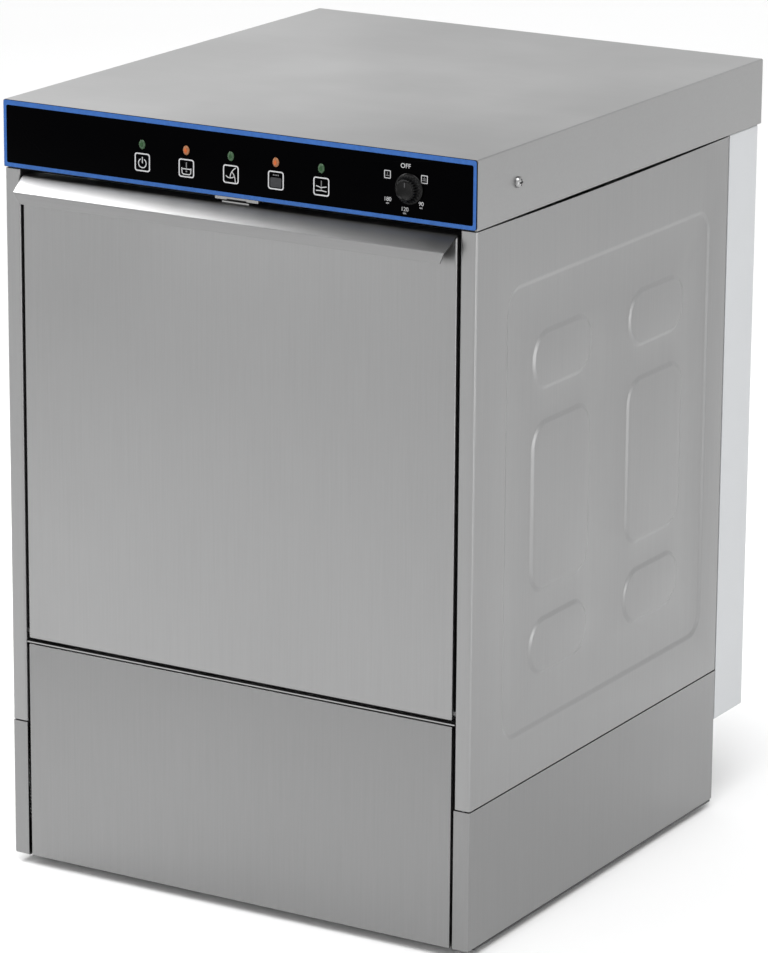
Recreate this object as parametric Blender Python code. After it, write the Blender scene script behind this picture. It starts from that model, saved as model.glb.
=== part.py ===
"""Undercounter commercial dishwasher, modelled as the pieces it is assembled from.

Metres, +Z up. The front faces -Y, and the origin is on the floor under the middle of the machine.
Run it with blender --background --python part.py, or from Blender's text editor.
"""

import math

import bmesh
import bpy
from mathutils import Matrix, Vector

for leftover in list(bpy.data.objects):
    bpy.data.objects.remove(leftover)

# Driving dimensions of the whole machine
WIDTH = 0.570
HEAD_DEPTH = 0.632
HEAD_HEIGHT = 0.0717
HANDLE_REACH = 0.0205
BODY_HEIGHT = 0.8354
FOOT_HEIGHT = 0.010
BODY_DEPTH = 0.5564
BASE_HEIGHT = 0.1525
SHEET = 0.0012
GAP = 0.0003

# Planes that the pieces share
HALF = WIDTH / 2
FRONT = (HANDLE_REACH - HEAD_DEPTH) / 2
REAR = FRONT + HEAD_DEPTH
TOP = FOOT_HEIGHT + BODY_HEIGHT
HEAD_UNDER = TOP - HEAD_HEIGHT
BODY_X = HALF - 0.0007
BODY_FRONT = FRONT + 0.0013
BODY_REAR = FRONT + BODY_DEPTH
BASE_TOP = FOOT_HEIGHT + BASE_HEIGHT
POST_X = 0.2656

# Door and the panel below it
DOOR_X = 0.262
DOOR_BOTTOM = 0.2587
DOOR_TOP = 0.7650
DOOR_BACK = FRONT + 0.037
HINGE_Y = FRONT + 0.009
HINGE_Z = 0.2645
LOWER_PANEL_TOP = 0.2523
RAIL_TOP = 0.2550

# Wash chamber, tank and sump
MOUTH_Y = FRONT + 0.040
CHAMBER_X = 0.258
CHAMBER_BACK = 0.243
CHAMBER_FLOOR = 0.262
CHAMBER_TOP = 0.745
ARM_Y = (MOUTH_Y + CHAMBER_BACK) / 2
SUMP_X = 0.090
SUMP_FRONT = -0.100
SUMP_BACK = 0.155
SUMP_TOP = 0.205
SUMP_FLOOR = 0.150
TRAY_Z = 0.2440
STRAINER_R = 0.0610
OVERFLOW_Y = 0.118

# Pump
PUMP_Z = 0.158
PUMP_X = 0.122

# Rinse boiler's outlet, and the plane behind the rear panel where both supply pipes rise
RINSE_X = -0.150
RINSE_Z = 0.120
RISER_Y = 0.285

# Control panel
LAMP_X = -0.1108
LAMP_PITCH = 0.0539
LAMP_Z = 0.8167
LAMP_R = 0.0045
KNOB_X = 0.2078
KNOB_Z = 0.808
OVERLAY = 0.0008
PLATE_FRONT = FRONT + OVERLAY + GAP
PLATE = 0.0015

FINISHES = {
    "brushed_steel": ((0.55, 0.55, 0.54), 1.0, 0.32),
    "dull_steel": ((0.45, 0.45, 0.44), 1.0, 0.45),
    "white_paint": ((0.80, 0.81, 0.82), 0.0, 0.45),
    "black_gloss": ((0.010, 0.010, 0.012), 0.0, 0.08),
    "black_plastic": ((0.02, 0.02, 0.02), 0.0, 0.45),
    "grey_plastic": ((0.30, 0.31, 0.32), 0.0, 0.5),
    "rubber": ((0.025, 0.025, 0.025), 0.0, 0.75),
    "motor_paint": ((0.10, 0.11, 0.13), 0.3, 0.5),
    "green_lens": ((0.05, 0.25, 0.06), 0.0, 0.2),
    "amber_lens": ((0.75, 0.25, 0.06), 0.0, 0.2),
}


# ---------------------------------------------------------------- mesh helpers


def piece(name, mesh_data, finish):
    """Turn a bmesh into a named object with a material of its own."""
    mesh = bpy.data.meshes.new(name)
    mesh_data.to_mesh(mesh)
    mesh_data.free()
    colour, metallic, roughness = FINISHES[finish]
    material = bpy.data.materials.new(f"{name}_{finish}")
    material.use_nodes = True
    shader = material.node_tree.nodes["Principled BSDF"]
    shader.inputs["Base Color"].default_value = (*colour, 1.0)
    shader.inputs["Metallic"].default_value = metallic
    shader.inputs["Roughness"].default_value = roughness
    mesh.materials.append(material)
    obj = bpy.data.objects.new(name, mesh)
    bpy.context.scene.collection.objects.link(obj)
    return obj


def box(low, high):
    """A box between two corners."""
    shape = bmesh.new()
    bmesh.ops.create_cube(shape, size=1.0)
    for vert in shape.verts:
        vert.co = Vector(a + (c + 0.5) * (b - a) for c, a, b in zip(vert.co, low, high))
    return shape


def place(axis, along, first, second):
    """A point from its position along an axis and its two other coordinates, in x, y, z order."""
    coords = [first, second]
    coords.insert("xyz".index(axis), along)
    return Vector(coords)


def outward(shape):
    """Recalculate the normals of a closed shape."""
    bmesh.ops.recalc_face_normals(shape, faces=shape.faces)
    return shape


def prism(outline, axis, start, end):
    """A flat outline pushed along an axis. The outline holds the two other coordinates."""
    shape = bmesh.new()
    ends = [[shape.verts.new(place(axis, along, *p)) for p in outline] for along in (start, end)]
    for ring in ends:
        shape.faces.new(ring)
    for i in range(len(outline)):
        j = (i + 1) % len(outline)
        shape.faces.new((ends[0][i], ends[0][j], ends[1][j], ends[1][i]))
    return outward(shape)


def turned(profile, axis, centre, sides=16):
    """A profile of (radius, position) points turned about an axis through centre."""
    shape = bmesh.new()
    rings = []
    for radius, along in profile:
        count = sides if radius > 0 else 1
        ring = []
        for i in range(count):
            angle = 2 * math.pi * (i + 0.5) / sides
            first = centre[0] + radius * math.cos(angle)
            second = centre[1] + radius * math.sin(angle)
            ring.append(shape.verts.new(place(axis, along, first, second)))
        rings.append(ring)
    closed = profile[0][0] > 0
    pairs = list(zip(rings, rings[1:])) + ([(rings[-1], rings[0])] if closed else [])
    for lower, upper in pairs:
        for i in range(sides):
            j = (i + 1) % sides
            corners = [lower[i % len(lower)], lower[j % len(lower)]]
            corners += [upper[j % len(upper)], upper[i % len(upper)]]
            shape.faces.new(list(dict.fromkeys(corners)))
    return outward(shape)


def rod(axis, centre, radius, start, end, sides=16):
    """A plain round bar."""
    return turned([(0, start), (radius, start), (radius, end), (0, end)], axis, centre, sides)


def pipe(path, sides=10):
    """A pipe along path, whose points are (position, outer radius, inner radius, 0 where it is solid)."""
    shape = bmesh.new()
    points = [Vector(p) for p, _, _ in path]
    side = None
    outer_rings, inner_rings = [], []
    for i, (_, outer, inner) in enumerate(path):
        ahead = next((q for q in points[i + 1:] if (q - points[i]).length > 1e-6), None)
        behind = next((q for q in points[:i][::-1] if (q - points[i]).length > 1e-6), None)
        direction = Vector()
        if ahead is not None:
            direction += (ahead - points[i]).normalized()
        if behind is not None:
            direction += (points[i] - behind).normalized()
        direction.normalize()
        if side is None:
            side = direction.orthogonal()
        side = (side - direction * side.dot(direction)).normalized()
        other = direction.cross(side)
        for rings, radius in ((outer_rings, outer), (inner_rings, inner)):
            if radius == 0:
                continue
            ring = []
            for k in range(sides):
                angle = 2 * math.pi * k / sides
                offset = side * math.cos(angle) + other * math.sin(angle)
                ring.append(shape.verts.new(points[i] + offset * radius))
            rings.append(ring)
    seams = list(zip(outer_rings, outer_rings[1:]))
    if path[0][2] > 0:
        seams += list(zip(inner_rings, inner_rings[1:]))
        seams += [(outer_rings[0], inner_rings[0]), (outer_rings[-1], inner_rings[-1])]
    else:
        shape.faces.new(outer_rings[0])
        shape.faces.new(outer_rings[-1])
    for one, two in seams:
        for i in range(sides):
            j = (i + 1) % sides
            shape.faces.new((one[i], one[j], two[j], two[i]))
    return outward(shape)


def route(corners, bend, steps=3):
    """Points along straight runs joined by round bends."""
    corners = [Vector(c) for c in corners]
    points = [corners[0]]
    for before, corner, after in zip(corners, corners[1:], corners[2:]):
        arm_in = (before - corner).normalized()
        arm_out = (after - corner).normalized()
        start, end = corner + arm_in * bend, corner + arm_out * bend
        centre = start + arm_out * bend
        for k in range(steps + 1):
            angle = math.pi / 2 * k / steps
            points.append(centre - arm_out * bend * math.cos(angle) - arm_in * bend * math.sin(angle))
        points[-1] = end
    return points + [corners[-1]]


def bent_sheet(chain, thickness):
    """The closed outline of a folded sheet: the chain is its outer side, the sheet lies to its left."""
    points = [Vector(p) for p in chain]
    inner = []
    for i, point in enumerate(points):
        before = (point - points[i - 1]).normalized() if i else None
        after = (points[i + 1] - point).normalized() if i + 1 < len(points) else None
        normals = [Vector((-d.y, d.x)) for d in (before, after) if d is not None]
        mitre = sum(normals, Vector((0, 0))).normalized()
        inner.append(point + mitre * thickness / mitre.dot(normals[0]))
    return [tuple(p) for p in points + inner[::-1]]


def rounded(low, high, radius, steps=3):
    """A rounded rectangle, counter-clockwise from its lower right corner."""
    centres = [
        (high[0] - radius, low[1] + radius),
        (high[0] - radius, high[1] - radius),
        (low[0] + radius, high[1] - radius),
        (low[0] + radius, low[1] + radius),
    ]
    points = []
    for corner, (x, y) in enumerate(centres):
        for k in range(steps + 1):
            angle = math.pi / 2 * (corner - 1 + k / steps)
            points.append((x + radius * math.cos(angle), y + radius * math.sin(angle)))
    return points


def mirrored(shape):
    """The other-handed copy of a shape, across the plane x = 0."""
    twin = shape.copy()
    bmesh.ops.transform(twin, matrix=Matrix.Scale(-1, 4, (1, 0, 0)), verts=twin.verts)
    bmesh.ops.reverse_faces(twin, faces=twin.faces)
    return twin


def combine(obj, tool, operation):
    """Keep a Boolean on obj whose second shape is a hidden guide object."""
    mesh = bpy.data.meshes.new(f"{obj.name}_guide")
    tool.to_mesh(mesh)
    tool.free()
    guide = bpy.data.objects.new(mesh.name, mesh)
    guide.hide_render = True
    guide.display_type = "WIRE"
    bpy.context.scene.collection.objects.link(guide)
    modifier = obj.modifiers.new(operation.lower(), "BOOLEAN")
    modifier.operation = operation
    modifier.solver = "EXACT"
    modifier.object = guide


def cut(obj, *tools):
    for tool in tools:
        combine(obj, tool, "DIFFERENCE")


def join(obj, *tools):
    for tool in tools:
        combine(obj, tool, "UNION")


def hang(axis_name, pivot, *objects):
    """Parent pieces to an empty on their joint's axis, without moving them."""
    empty = bpy.data.objects.new(axis_name, None)
    empty.location = pivot
    bpy.context.scene.collection.objects.link(empty)
    for obj in objects:
        obj.parent = empty
        obj.matrix_parent_inverse = Matrix.Translation(-Vector(pivot))


# ---------------------------------------------------------------- head and control panel


def make_top_cover():
    cover = piece("top_cover", box((-HALF, PLATE_FRONT, HEAD_UNDER), (HALF, REAR, TOP)), "brushed_steel")
    low = (-HALF + SHEET, FRONT - 0.01, HEAD_UNDER - 0.01)
    cut(cover, box(low, (HALF - SHEET, REAR - SHEET, TOP - SHEET)))
    screw_y, screw_z, shank_r = FRONT + 0.0824, 0.8088, 0.0025
    cut(cover, rod("x", (screw_y, screw_z), shank_r + GAP, -HALF - 0.01, HALF + 0.01, 12))
    head_r, head_height, length = 0.0062, 0.0042, 0.010
    face = HALF + GAP
    profile = [
        (0, face + head_height),
        (head_r * 0.7, face + head_height * 0.85),
        (head_r, face + head_height * 0.3),
        (head_r, face),
        (shank_r, face),
        (shank_r, face - length),
        (0, face - length),
    ]
    screw = turned(profile, "x", (screw_y, screw_z), 12)
    piece("cover_screw_left", mirrored(screw), "dull_steel")
    piece("cover_screw_right", screw, "dull_steel")


def make_control_panel():
    reach = HALF - SHEET - GAP
    flange_depth = 0.029
    top = TOP - SHEET - GAP
    chain = [(PLATE_FRONT, top), (PLATE_FRONT, HEAD_UNDER), (PLATE_FRONT + flange_depth, HEAD_UNDER)]
    panel = piece("control_panel", prism(bent_sheet(chain, PLATE), "x", -reach, reach), "brushed_steel")
    corners = rounded((-HALF, HEAD_UNDER + GAP), (HALF, TOP), 0.003, 2)
    overlay = piece("fascia_overlay", prism(corners, "y", FRONT, FRONT + OVERLAY), "black_gloss")
    for plate in (panel, overlay):
        for i in range(5):
            centre = (LAMP_X + i * LAMP_PITCH, LAMP_Z)
            cut(plate, rod("y", centre, LAMP_R + GAP, FRONT - 0.01, FRONT + 0.01, 12))
        cut(plate, rod("y", (KNOB_X, KNOB_Z), 0.0040, FRONT - 0.01, FRONT + 0.01, 12))


def make_lamps():
    names = ("power", "tank_heat", "wash", "rinse", "boiler_heat")
    behind = PLATE_FRONT + PLATE + GAP
    for i, name in enumerate(names):
        profile = [
            (0, FRONT - 0.0016),
            (LAMP_R * 0.7, FRONT - 0.0011),
            (LAMP_R, FRONT),
            (LAMP_R, behind),
            (LAMP_R + 0.0014, behind),
            (LAMP_R + 0.0014, behind + 0.002),
            (0.0028, behind + 0.002),
            (0.0028, behind + 0.009),
            (0, behind + 0.009),
        ]
        lens = turned(profile, "y", (LAMP_X + i * LAMP_PITCH, LAMP_Z), 12)
        piece(f"lamp_{name}", lens, ("green_lens", "amber_lens")[i % 2])


def make_knob():
    """Fluted selector knob with its moulded stem, which turns inside the selector switch."""
    stem_end = FRONT + 0.034
    skirt, face = FRONT - 0.0006, FRONT - 0.0110
    rings = [
        (0, stem_end, 0),
        (0.0030, stem_end, 0),
        (0.0030, skirt, 0),
        (0.0160, skirt, 0),
        (0.0160, skirt - 0.0022, 0),
        (0.0144, skirt - 0.0028, 0.0006),
        (0.0112, face + 0.0010, 0.0006),
        (0.0100, face, 0),
        (0, face, 0),
    ]
    shape = turned([(radius, along) for radius, along, _ in rings], "y", (KNOB_X, KNOB_Z), 32)
    fluted = [(along, flute) for _, along, flute in rings if flute]
    for along, flute in fluted:
        for vert in shape.verts:
            across = Vector((vert.co.x - KNOB_X, 0, vert.co.z - KNOB_Z))
            if abs(vert.co.y - along) > 1e-5 or across.length > 0.0150:
                continue
            step = round((math.atan2(across.z, across.x) / math.pi) * 16 - 0.5)
            vert.co += across.normalized() * (flute if step % 2 else -flute)
    knob = piece("program_knob", shape, "black_plastic")
    switch_front = PLATE_FRONT + PLATE + GAP
    low = (KNOB_X - 0.017, switch_front, KNOB_Z - 0.017)
    high = (KNOB_X + 0.017, switch_front + 0.040, KNOB_Z + 0.017)
    switch = piece("selector_switch", box(low, high), "grey_plastic")
    bore_end = stem_end + 0.001
    cut(switch, rod("y", (KNOB_X, KNOB_Z), 0.0034, FRONT - 0.01, bore_end, 16))
    hang("knob_axis", (KNOB_X, FRONT, KNOB_Z), knob)


def make_relay_box():
    low = (-0.240, -0.200, CHAMBER_TOP + SHEET + GAP)
    piece("relay_box", box(low, (-0.060, 0.060, low[2] + 0.055)), "grey_plastic")


# ---------------------------------------------------------------- body panels


def loft(shape, lower, upper):
    """Quads between two loops of the same length."""
    for i in range(len(lower)):
        j = (i + 1) % len(lower)
        shape.faces.new((lower[i], lower[j], upper[j], upper[i]))


def fill_between(shape, *loops):
    """Triangles over a flat region bounded by an outer loop and any inner ones."""
    edges = [shape.edges.get((loop[i - 1], loop[i])) or shape.edges.new((loop[i - 1], loop[i]))
             for loop in loops for i in range(len(loop))]
    bmesh.ops.triangle_fill(shape, edges=edges, use_beauty=True)


def pressed_side(low_z, high_z):
    """Right-hand side panel: post fold, flat side with its pressed field, rear fold."""
    depth, step = 0.0020, 0.007
    shape = bmesh.new()

    def loop(outline, x):
        return [shape.verts.new((x, y, z)) for y, z in outline]

    field_low, field_high = (FRONT + 0.065, 0.2165), (FRONT + 0.516, 0.702)
    rim = loop(rounded(field_low, field_high, 0.028), BODY_X)
    inner = rounded([c + step for c in field_low], [c - step for c in field_high], 0.021)
    floor = loop(inner, BODY_X - depth)
    loft(shape, rim, floor)
    feet = []
    for column in (FRONT + 0.122, FRONT + 0.330):
        for bottom, top, radius in ((0.270, 0.335, 0.032), (0.360, 0.548, 0.030), (0.578, 0.644, 0.032)):
            low, high = (column, bottom), (column + 0.129, top)
            foot = loop(rounded(low, high, radius), BODY_X - depth)
            raised = rounded([c + 0.005 for c in low], [c - 0.005 for c in high], radius - 0.005)
            crown = loop(raised, BODY_X)
            loft(shape, foot, crown)
            shape.faces.new(crown)
            feet.append(foot)
    fill_between(shape, floor, *feet)
    chain = [(POST_X, BODY_FRONT + 0.032), (POST_X, BODY_FRONT), (BODY_X, BODY_FRONT),
             (BODY_X, BODY_REAR), (BODY_X - 0.015, BODY_REAR)]
    lower = [shape.verts.new((x, y, low_z)) for x, y in chain]
    upper = [shape.verts.new((x, y, high_z)) for x, y in chain]
    for i in (0, 1, 3):
        shape.faces.new((lower[i], lower[i + 1], upper[i + 1], upper[i]))
    fill_between(shape, [lower[2], lower[3], upper[3], upper[2]], rim)
    outward(shape)
    shape.faces.ensure_lookup_table()
    side = max(shape.faces, key=lambda face: abs(face.normal.x) * face.calc_area())
    if side.normal.x < 0:
        bmesh.ops.reverse_faces(shape, faces=shape.faces)
    return shape


def make_side_panels():
    right = pressed_side(BASE_TOP + GAP, HEAD_UNDER - GAP)
    for name, sign, shape in (("left", -1, mirrored(right)), ("right", 1, right)):
        panel = piece(f"side_panel_{name}", shape, "brushed_steel")
        wall = panel.modifiers.new("wall", "SOLIDIFY")
        wall.thickness = SHEET
        wall.offset = -1
        wall.use_even_offset = True
        notch_x = sorted((sign * (POST_X - 0.004), sign * (POST_X + 0.006)))
        notch_low = (notch_x[0], BODY_FRONT + 0.0025, HINGE_Z - 0.012)
        cut(panel, box(notch_low, (notch_x[1], BODY_FRONT + 0.022, HINGE_Z + 0.012)))


def make_base():
    wall = 0.0015
    low, high = (-BODY_X, BODY_FRONT, FOOT_HEIGHT), (BODY_X, BODY_REAR, BASE_TOP)
    base = piece("base_chassis", box(low, high), "brushed_steel")
    inner_low = [c + wall for c in low]
    cut(base, box(inner_low, (BODY_X - wall, BODY_REAR - wall, BASE_TOP + 0.01)))
    cut(base, box((-POST_X, BODY_FRONT - 0.01, 0), (POST_X, BODY_FRONT + 0.018, BASE_TOP + 0.01)))
    rear_holes = ((0.0, 0.055, 0.0170), (0.170, 0.062, 0.0130), (0.225, 0.062, 0.0090),
                  (PUMP_X, PUMP_Z - 0.030, 0.0145), (RINSE_X, RINSE_Z, 0.0085))
    for x, z, radius in rear_holes:
        cut(base, rod("y", (x, z), radius, BODY_REAR - 0.01, BODY_REAR + 0.01, 16))
    profile = [(0, 0), (0.018, 0), (0.019, 0.0015), (0.019, 0.0065), (0.010, FOOT_HEIGHT - GAP),
               (0.0045, FOOT_HEIGHT - GAP), (0.0045, 0.036), (0, 0.036)]
    for name, x, y in (("front_left", -0.215, -0.235), ("front_right", 0.215, -0.235),
                       ("rear_left", -0.215, 0.185), ("rear_right", 0.215, 0.185)):
        piece(f"foot_{name}", turned(profile, "z", (x, y), 12), "black_plastic")
        cut(base, rod("z", (x, y), 0.0050, 0, 0.02, 12))


def make_lower_front():
    depth = 0.0162
    low, high = (-DOOR_X, BODY_FRONT, FOOT_HEIGHT + 0.0006), (DOOR_X, BODY_FRONT + depth, LOWER_PANEL_TOP)
    panel = piece("lower_front_panel", box(low, high), "brushed_steel")
    inner_low = [c + SHEET for c in low]
    cut(panel, box(inner_low, (DOOR_X - SHEET, high[1] + 0.01, high[2] - SHEET)))
    rail_front, rail_back = BODY_FRONT + 0.001, BODY_FRONT + 0.030
    chain = [(rail_back, RAIL_TOP - 0.019), (rail_back, RAIL_TOP), (rail_front, RAIL_TOP)]
    outline = bent_sheet(chain, 0.0014)
    piece("front_rail", prism(outline, "x", -POST_X + 0.0006, POST_X - 0.0006), "brushed_steel")


def make_rear():
    wall = 0.0010
    inner = BODY_X - SHEET - GAP
    back = BODY_REAR - SHEET - GAP
    low = (-inner, back - SHEET, BASE_TOP + GAP)
    piece("rear_panel", box(low, (inner, back, HEAD_UNDER - GAP)), "dull_steel")
    low = (-BODY_X, BODY_REAR + GAP, FOOT_HEIGHT + 0.0937)
    high = (BODY_X, FRONT + 0.6255, HEAD_UNDER - GAP)
    cover = piece("rear_cover", box(low, high), "white_paint")
    inner_low = (low[0] + wall, low[1] - 0.01, low[2] + wall)
    cut(cover, box(inner_low, [c - wall for c in high]))
    for x, radius in ((PUMP_X, 0.0145), (RINSE_X, 0.0085)):
        cut(cover, rod("z", (x, RISER_Y), radius, HEAD_UNDER - 0.02, HEAD_UNDER + 0.01, 16))


# ---------------------------------------------------------------- wash chamber and tank


def make_chamber():
    outer_x, outer_top = CHAMBER_X + SHEET, CHAMBER_TOP + SHEET
    low, high = (-outer_x, MOUTH_Y, CHAMBER_FLOOR), (outer_x, CHAMBER_BACK + SHEET, outer_top)
    liner = piece("chamber_liner", box(low, high), "brushed_steel")
    flange_x, flange_top = POST_X - 0.0008, 0.7595
    flange = box((-flange_x, MOUTH_Y, CHAMBER_FLOOR), (flange_x, MOUTH_Y + SHEET, flange_top))
    join(liner, flange)
    room = box((-CHAMBER_X, MOUTH_Y - 0.01, CHAMBER_FLOOR - 0.01), (CHAMBER_X, CHAMBER_BACK, CHAMBER_TOP))
    cut(liner, room, rod("z", (0, ARM_Y), 0.0125, CHAMBER_TOP - 0.01, CHAMBER_TOP + 0.01, 16))
    inside, outside, bottom, crown = 0.2596, 0.2644, 0.272, 0.7590
    seal = [(-outside, bottom), (-inside, bottom), (-inside, 0.7500), (inside, 0.7500),
            (inside, bottom), (outside, bottom), (outside, crown), (-outside, crown)]
    piece("door_gasket", prism(seal, "y", DOOR_BACK + GAP, MOUTH_Y - GAP), "rubber")
    chain = [(0.228, 0.3225), (CHAMBER_X - GAP, 0.3225), (CHAMBER_X - GAP, 0.345)]
    rail = prism(bent_sheet(chain, 0.0015), "y", FRONT + 0.052, 0.236)
    piece("rack_rail_left", mirrored(rail), "brushed_steel")
    piece("rack_rail_right", rail, "brushed_steel")


def make_tank():
    """Pressed tank: straight rim, sloping floor, deep sump, open at the top."""
    top = CHAMBER_FLOOR - GAP
    outer_x, outer_back = CHAMBER_X + SHEET, CHAMBER_BACK + SHEET
    levels = [
        (outer_x, MOUTH_Y, outer_back, top),
        (outer_x, MOUTH_Y, outer_back, 0.236),
        (SUMP_X + SHEET, SUMP_FRONT - SHEET, SUMP_BACK + SHEET, SUMP_TOP),
        (SUMP_X + SHEET, SUMP_FRONT - SHEET, SUMP_BACK + SHEET, SUMP_FLOOR),
    ]
    shape = bmesh.new()
    loops = [[shape.verts.new((x, y, z)) for x, y in ((-w, f), (w, f), (w, b), (-w, b))]
             for w, f, b, z in levels]
    for lower, upper in zip(loops[1:], loops):
        loft(shape, lower, upper)
    shape.faces.new(loops[-1][::-1])
    tank = piece("wash_tank", shape, "brushed_steel")
    wall = tank.modifiers.new("wall", "SOLIDIFY")
    wall.thickness = SHEET
    wall.offset = -1
    wall.use_even_offset = True
    floor = SUMP_FLOOR - 0.01, SUMP_FLOOR + 0.01
    cut(tank, rod("z", (0, ARM_Y), 0.0120, *floor, 16), rod("z", (0, OVERFLOW_Y), 0.0130, *floor, 16))
    cut(tank, rod("x", (ARM_Y, PUMP_Z + 0.012), 0.0130, SUMP_X - 0.01, SUMP_X + 0.01, 16))
    for x in (-0.050, 0.050):
        cut(tank, rod("y", (x, 0.175), 0.0045, SUMP_FRONT - 0.01, SUMP_FRONT + 0.01, 10))


def make_trays():
    """Two lift-out filter trays, each cut round for the strainer and the overflow pipe."""
    rim_height = 0.012
    low, high = (0.0035, FRONT + 0.0430, TRAY_Z), (0.2560, 0.2415, TRAY_Z + rim_height)
    for name, sign in (("left", -1), ("right", 1)):
        edges = sorted((sign * low[0], sign * high[0]))
        tray_low, tray_high = (edges[0], low[1], low[2]), (edges[1], high[1], high[2])
        tray = piece(f"filter_tray_{name}", box(tray_low, tray_high), "brushed_steel")
        inner_low = [c + SHEET for c in tray_low]
        inner_high = (tray_high[0] - SHEET, tray_high[1] - SHEET, tray_high[2] + 0.01)
        cut(tray, box(inner_low, inner_high))
        cut(tray, rod("z", (0, ARM_Y), STRAINER_R + 0.0015, TRAY_Z - 0.01, TRAY_Z + 0.03, 32))
        cut(tray, rod("z", (0, OVERFLOW_Y), 0.0190, TRAY_Z - 0.01, TRAY_Z + 0.03, 16))
        hang(f"tray_{name}_axis", (sign * 0.13, ARM_Y, TRAY_Z), tray)


def make_strainer_and_overflow():
    """The annular strainer basket round the spindle, and the standpipe that sets the water level."""
    inner_r, wall, bottom, top = 0.0215, 0.0012, 0.214, TRAY_Z + 0.012
    outer_r = STRAINER_R - 0.004
    profile = [
        (inner_r, bottom),
        (outer_r, bottom),
        (outer_r, top - wall),
        (STRAINER_R, top - wall),
        (STRAINER_R, top),
        (outer_r - wall, top),
        (outer_r - wall, bottom + wall),
        (inner_r + wall, bottom + wall),
        (inner_r + wall, top),
        (inner_r, top),
    ]
    strainer = piece("sump_strainer", turned(profile, "z", (0, ARM_Y), 24), "brushed_steel")
    floor = SUMP_FLOOR + SHEET + GAP
    profile = [(0.0135, floor), (0.0170, floor), (0.0170, floor + 0.006), (0.0150, floor + 0.010),
               (0.0150, 0.256), (0.0165, 0.259), (0.0150, 0.262), (0.0135, 0.260), (0.0135, floor + 0.010)]
    overflow = piece("overflow_pipe", turned(profile, "z", (0, OVERFLOW_Y), 16), "grey_plastic")
    hang("strainer_axis", (0, ARM_Y, bottom), strainer)
    hang("overflow_axis", (0, OVERFLOW_Y, floor), overflow)


def make_tank_heater():
    """Sheathed heating element: a U of tube in the sump on a flange outside its front wall."""
    radius, z, reach = 0.0040, 0.175, 0.050
    outside = SUMP_FRONT - SHEET - GAP
    corners = [(reach, outside - 0.020, z), (reach, 0.070, z), (-reach, 0.070, z), (-reach, outside - 0.020, z)]
    path = [(point, radius, 0) for point in route(corners, 0.030, 4)]
    heater = piece("tank_heater", pipe(path, 8), "dull_steel")
    plate = box((-reach - 0.012, outside - 0.004, z - 0.012), (reach + 0.012, outside, z + 0.012))
    join(heater, plate)


# ---------------------------------------------------------------- door


def make_door():
    low, high = (-DOOR_X, BODY_FRONT, DOOR_BOTTOM), (DOOR_X, BODY_FRONT + 0.022, DOOR_TOP)
    shape = box(low, high)
    front_edges = [edge for edge in shape.edges if all(v.co.y < BODY_FRONT + 0.001 for v in edge.verts)]
    bmesh.ops.bevel(shape, geom=front_edges, offset=0.0020, segments=2, affect="EDGES", profile=0.5)
    skin = piece("door_outer_skin", shape, "brushed_steel")
    cut(skin, box([c + SHEET for c in low], (DOOR_X - SHEET, high[1] + 0.01, DOOR_TOP - SHEET)))
    cut(skin, rod("x", (HINGE_Y, HINGE_Z), 0.0033, -DOOR_X - 0.01, DOOR_X + 0.01, 12))

    step = SHEET + GAP
    low = (-DOOR_X + step, BODY_FRONT + 0.014, DOOR_BOTTOM + step)
    high = (DOOR_X - step, DOOR_BACK, DOOR_TOP - step)
    liner = piece("door_inner_liner", box(low, high), "brushed_steel")
    inner_low = (low[0] + SHEET, low[1] - 0.01, low[2] + SHEET)
    cut(liner, box(inner_low, [c - SHEET for c in high]))

    handle = make_handle()
    low = (-0.016, FRONT + 0.004, DOOR_TOP + 0.0021)
    strike = piece("door_strike", box(low, (0.016, FRONT + 0.018, low[2] + 0.0015)), "dull_steel")
    catch_low = (-0.026, FRONT + 0.006, DOOR_TOP + 0.0045)
    catch = piece("door_catch", box(catch_low, (0.026, FRONT + 0.030, HEAD_UNDER - GAP)), "dull_steel")
    groove = box((-0.012, FRONT, catch_low[2] - 0.001), (0.012, FRONT + 0.04, catch_low[2] + 0.001))
    cut(catch, groove)
    hinges = make_hinges()
    hang("door_axis", (0, HINGE_Y, HINGE_Z), skin, liner, handle, strike, *hinges)


def make_handle():
    """Folded pull along the door's top edge: flat, slope down to the nose, lip turned back."""
    thickness = 0.0015
    top = DOOR_TOP + GAP + thickness
    chain = [(FRONT + 0.020, top), (FRONT + 0.0025, top), (FRONT - HANDLE_REACH, 0.7522),
             (FRONT - 0.0167, 0.7400)]
    half_lengths = [DOOR_X, DOOR_X, 0.2593, 0.2526]
    outline = bent_sheet(chain, thickness)
    half_lengths += half_lengths[::-1]
    shape = bmesh.new()
    ends = [[shape.verts.new((sign * half, y, z)) for (y, z), half in zip(outline, half_lengths)]
            for sign in (-1, 1)]
    loft(shape, *ends)
    count = len(chain)
    for ring in ends:
        for i in range(count - 1):
            j = 2 * count - 1 - i
            shape.faces.new((ring[i], ring[i + 1], ring[j - 1], ring[j]))
    return piece("door_handle", outward(shape), "brushed_steel")


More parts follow.
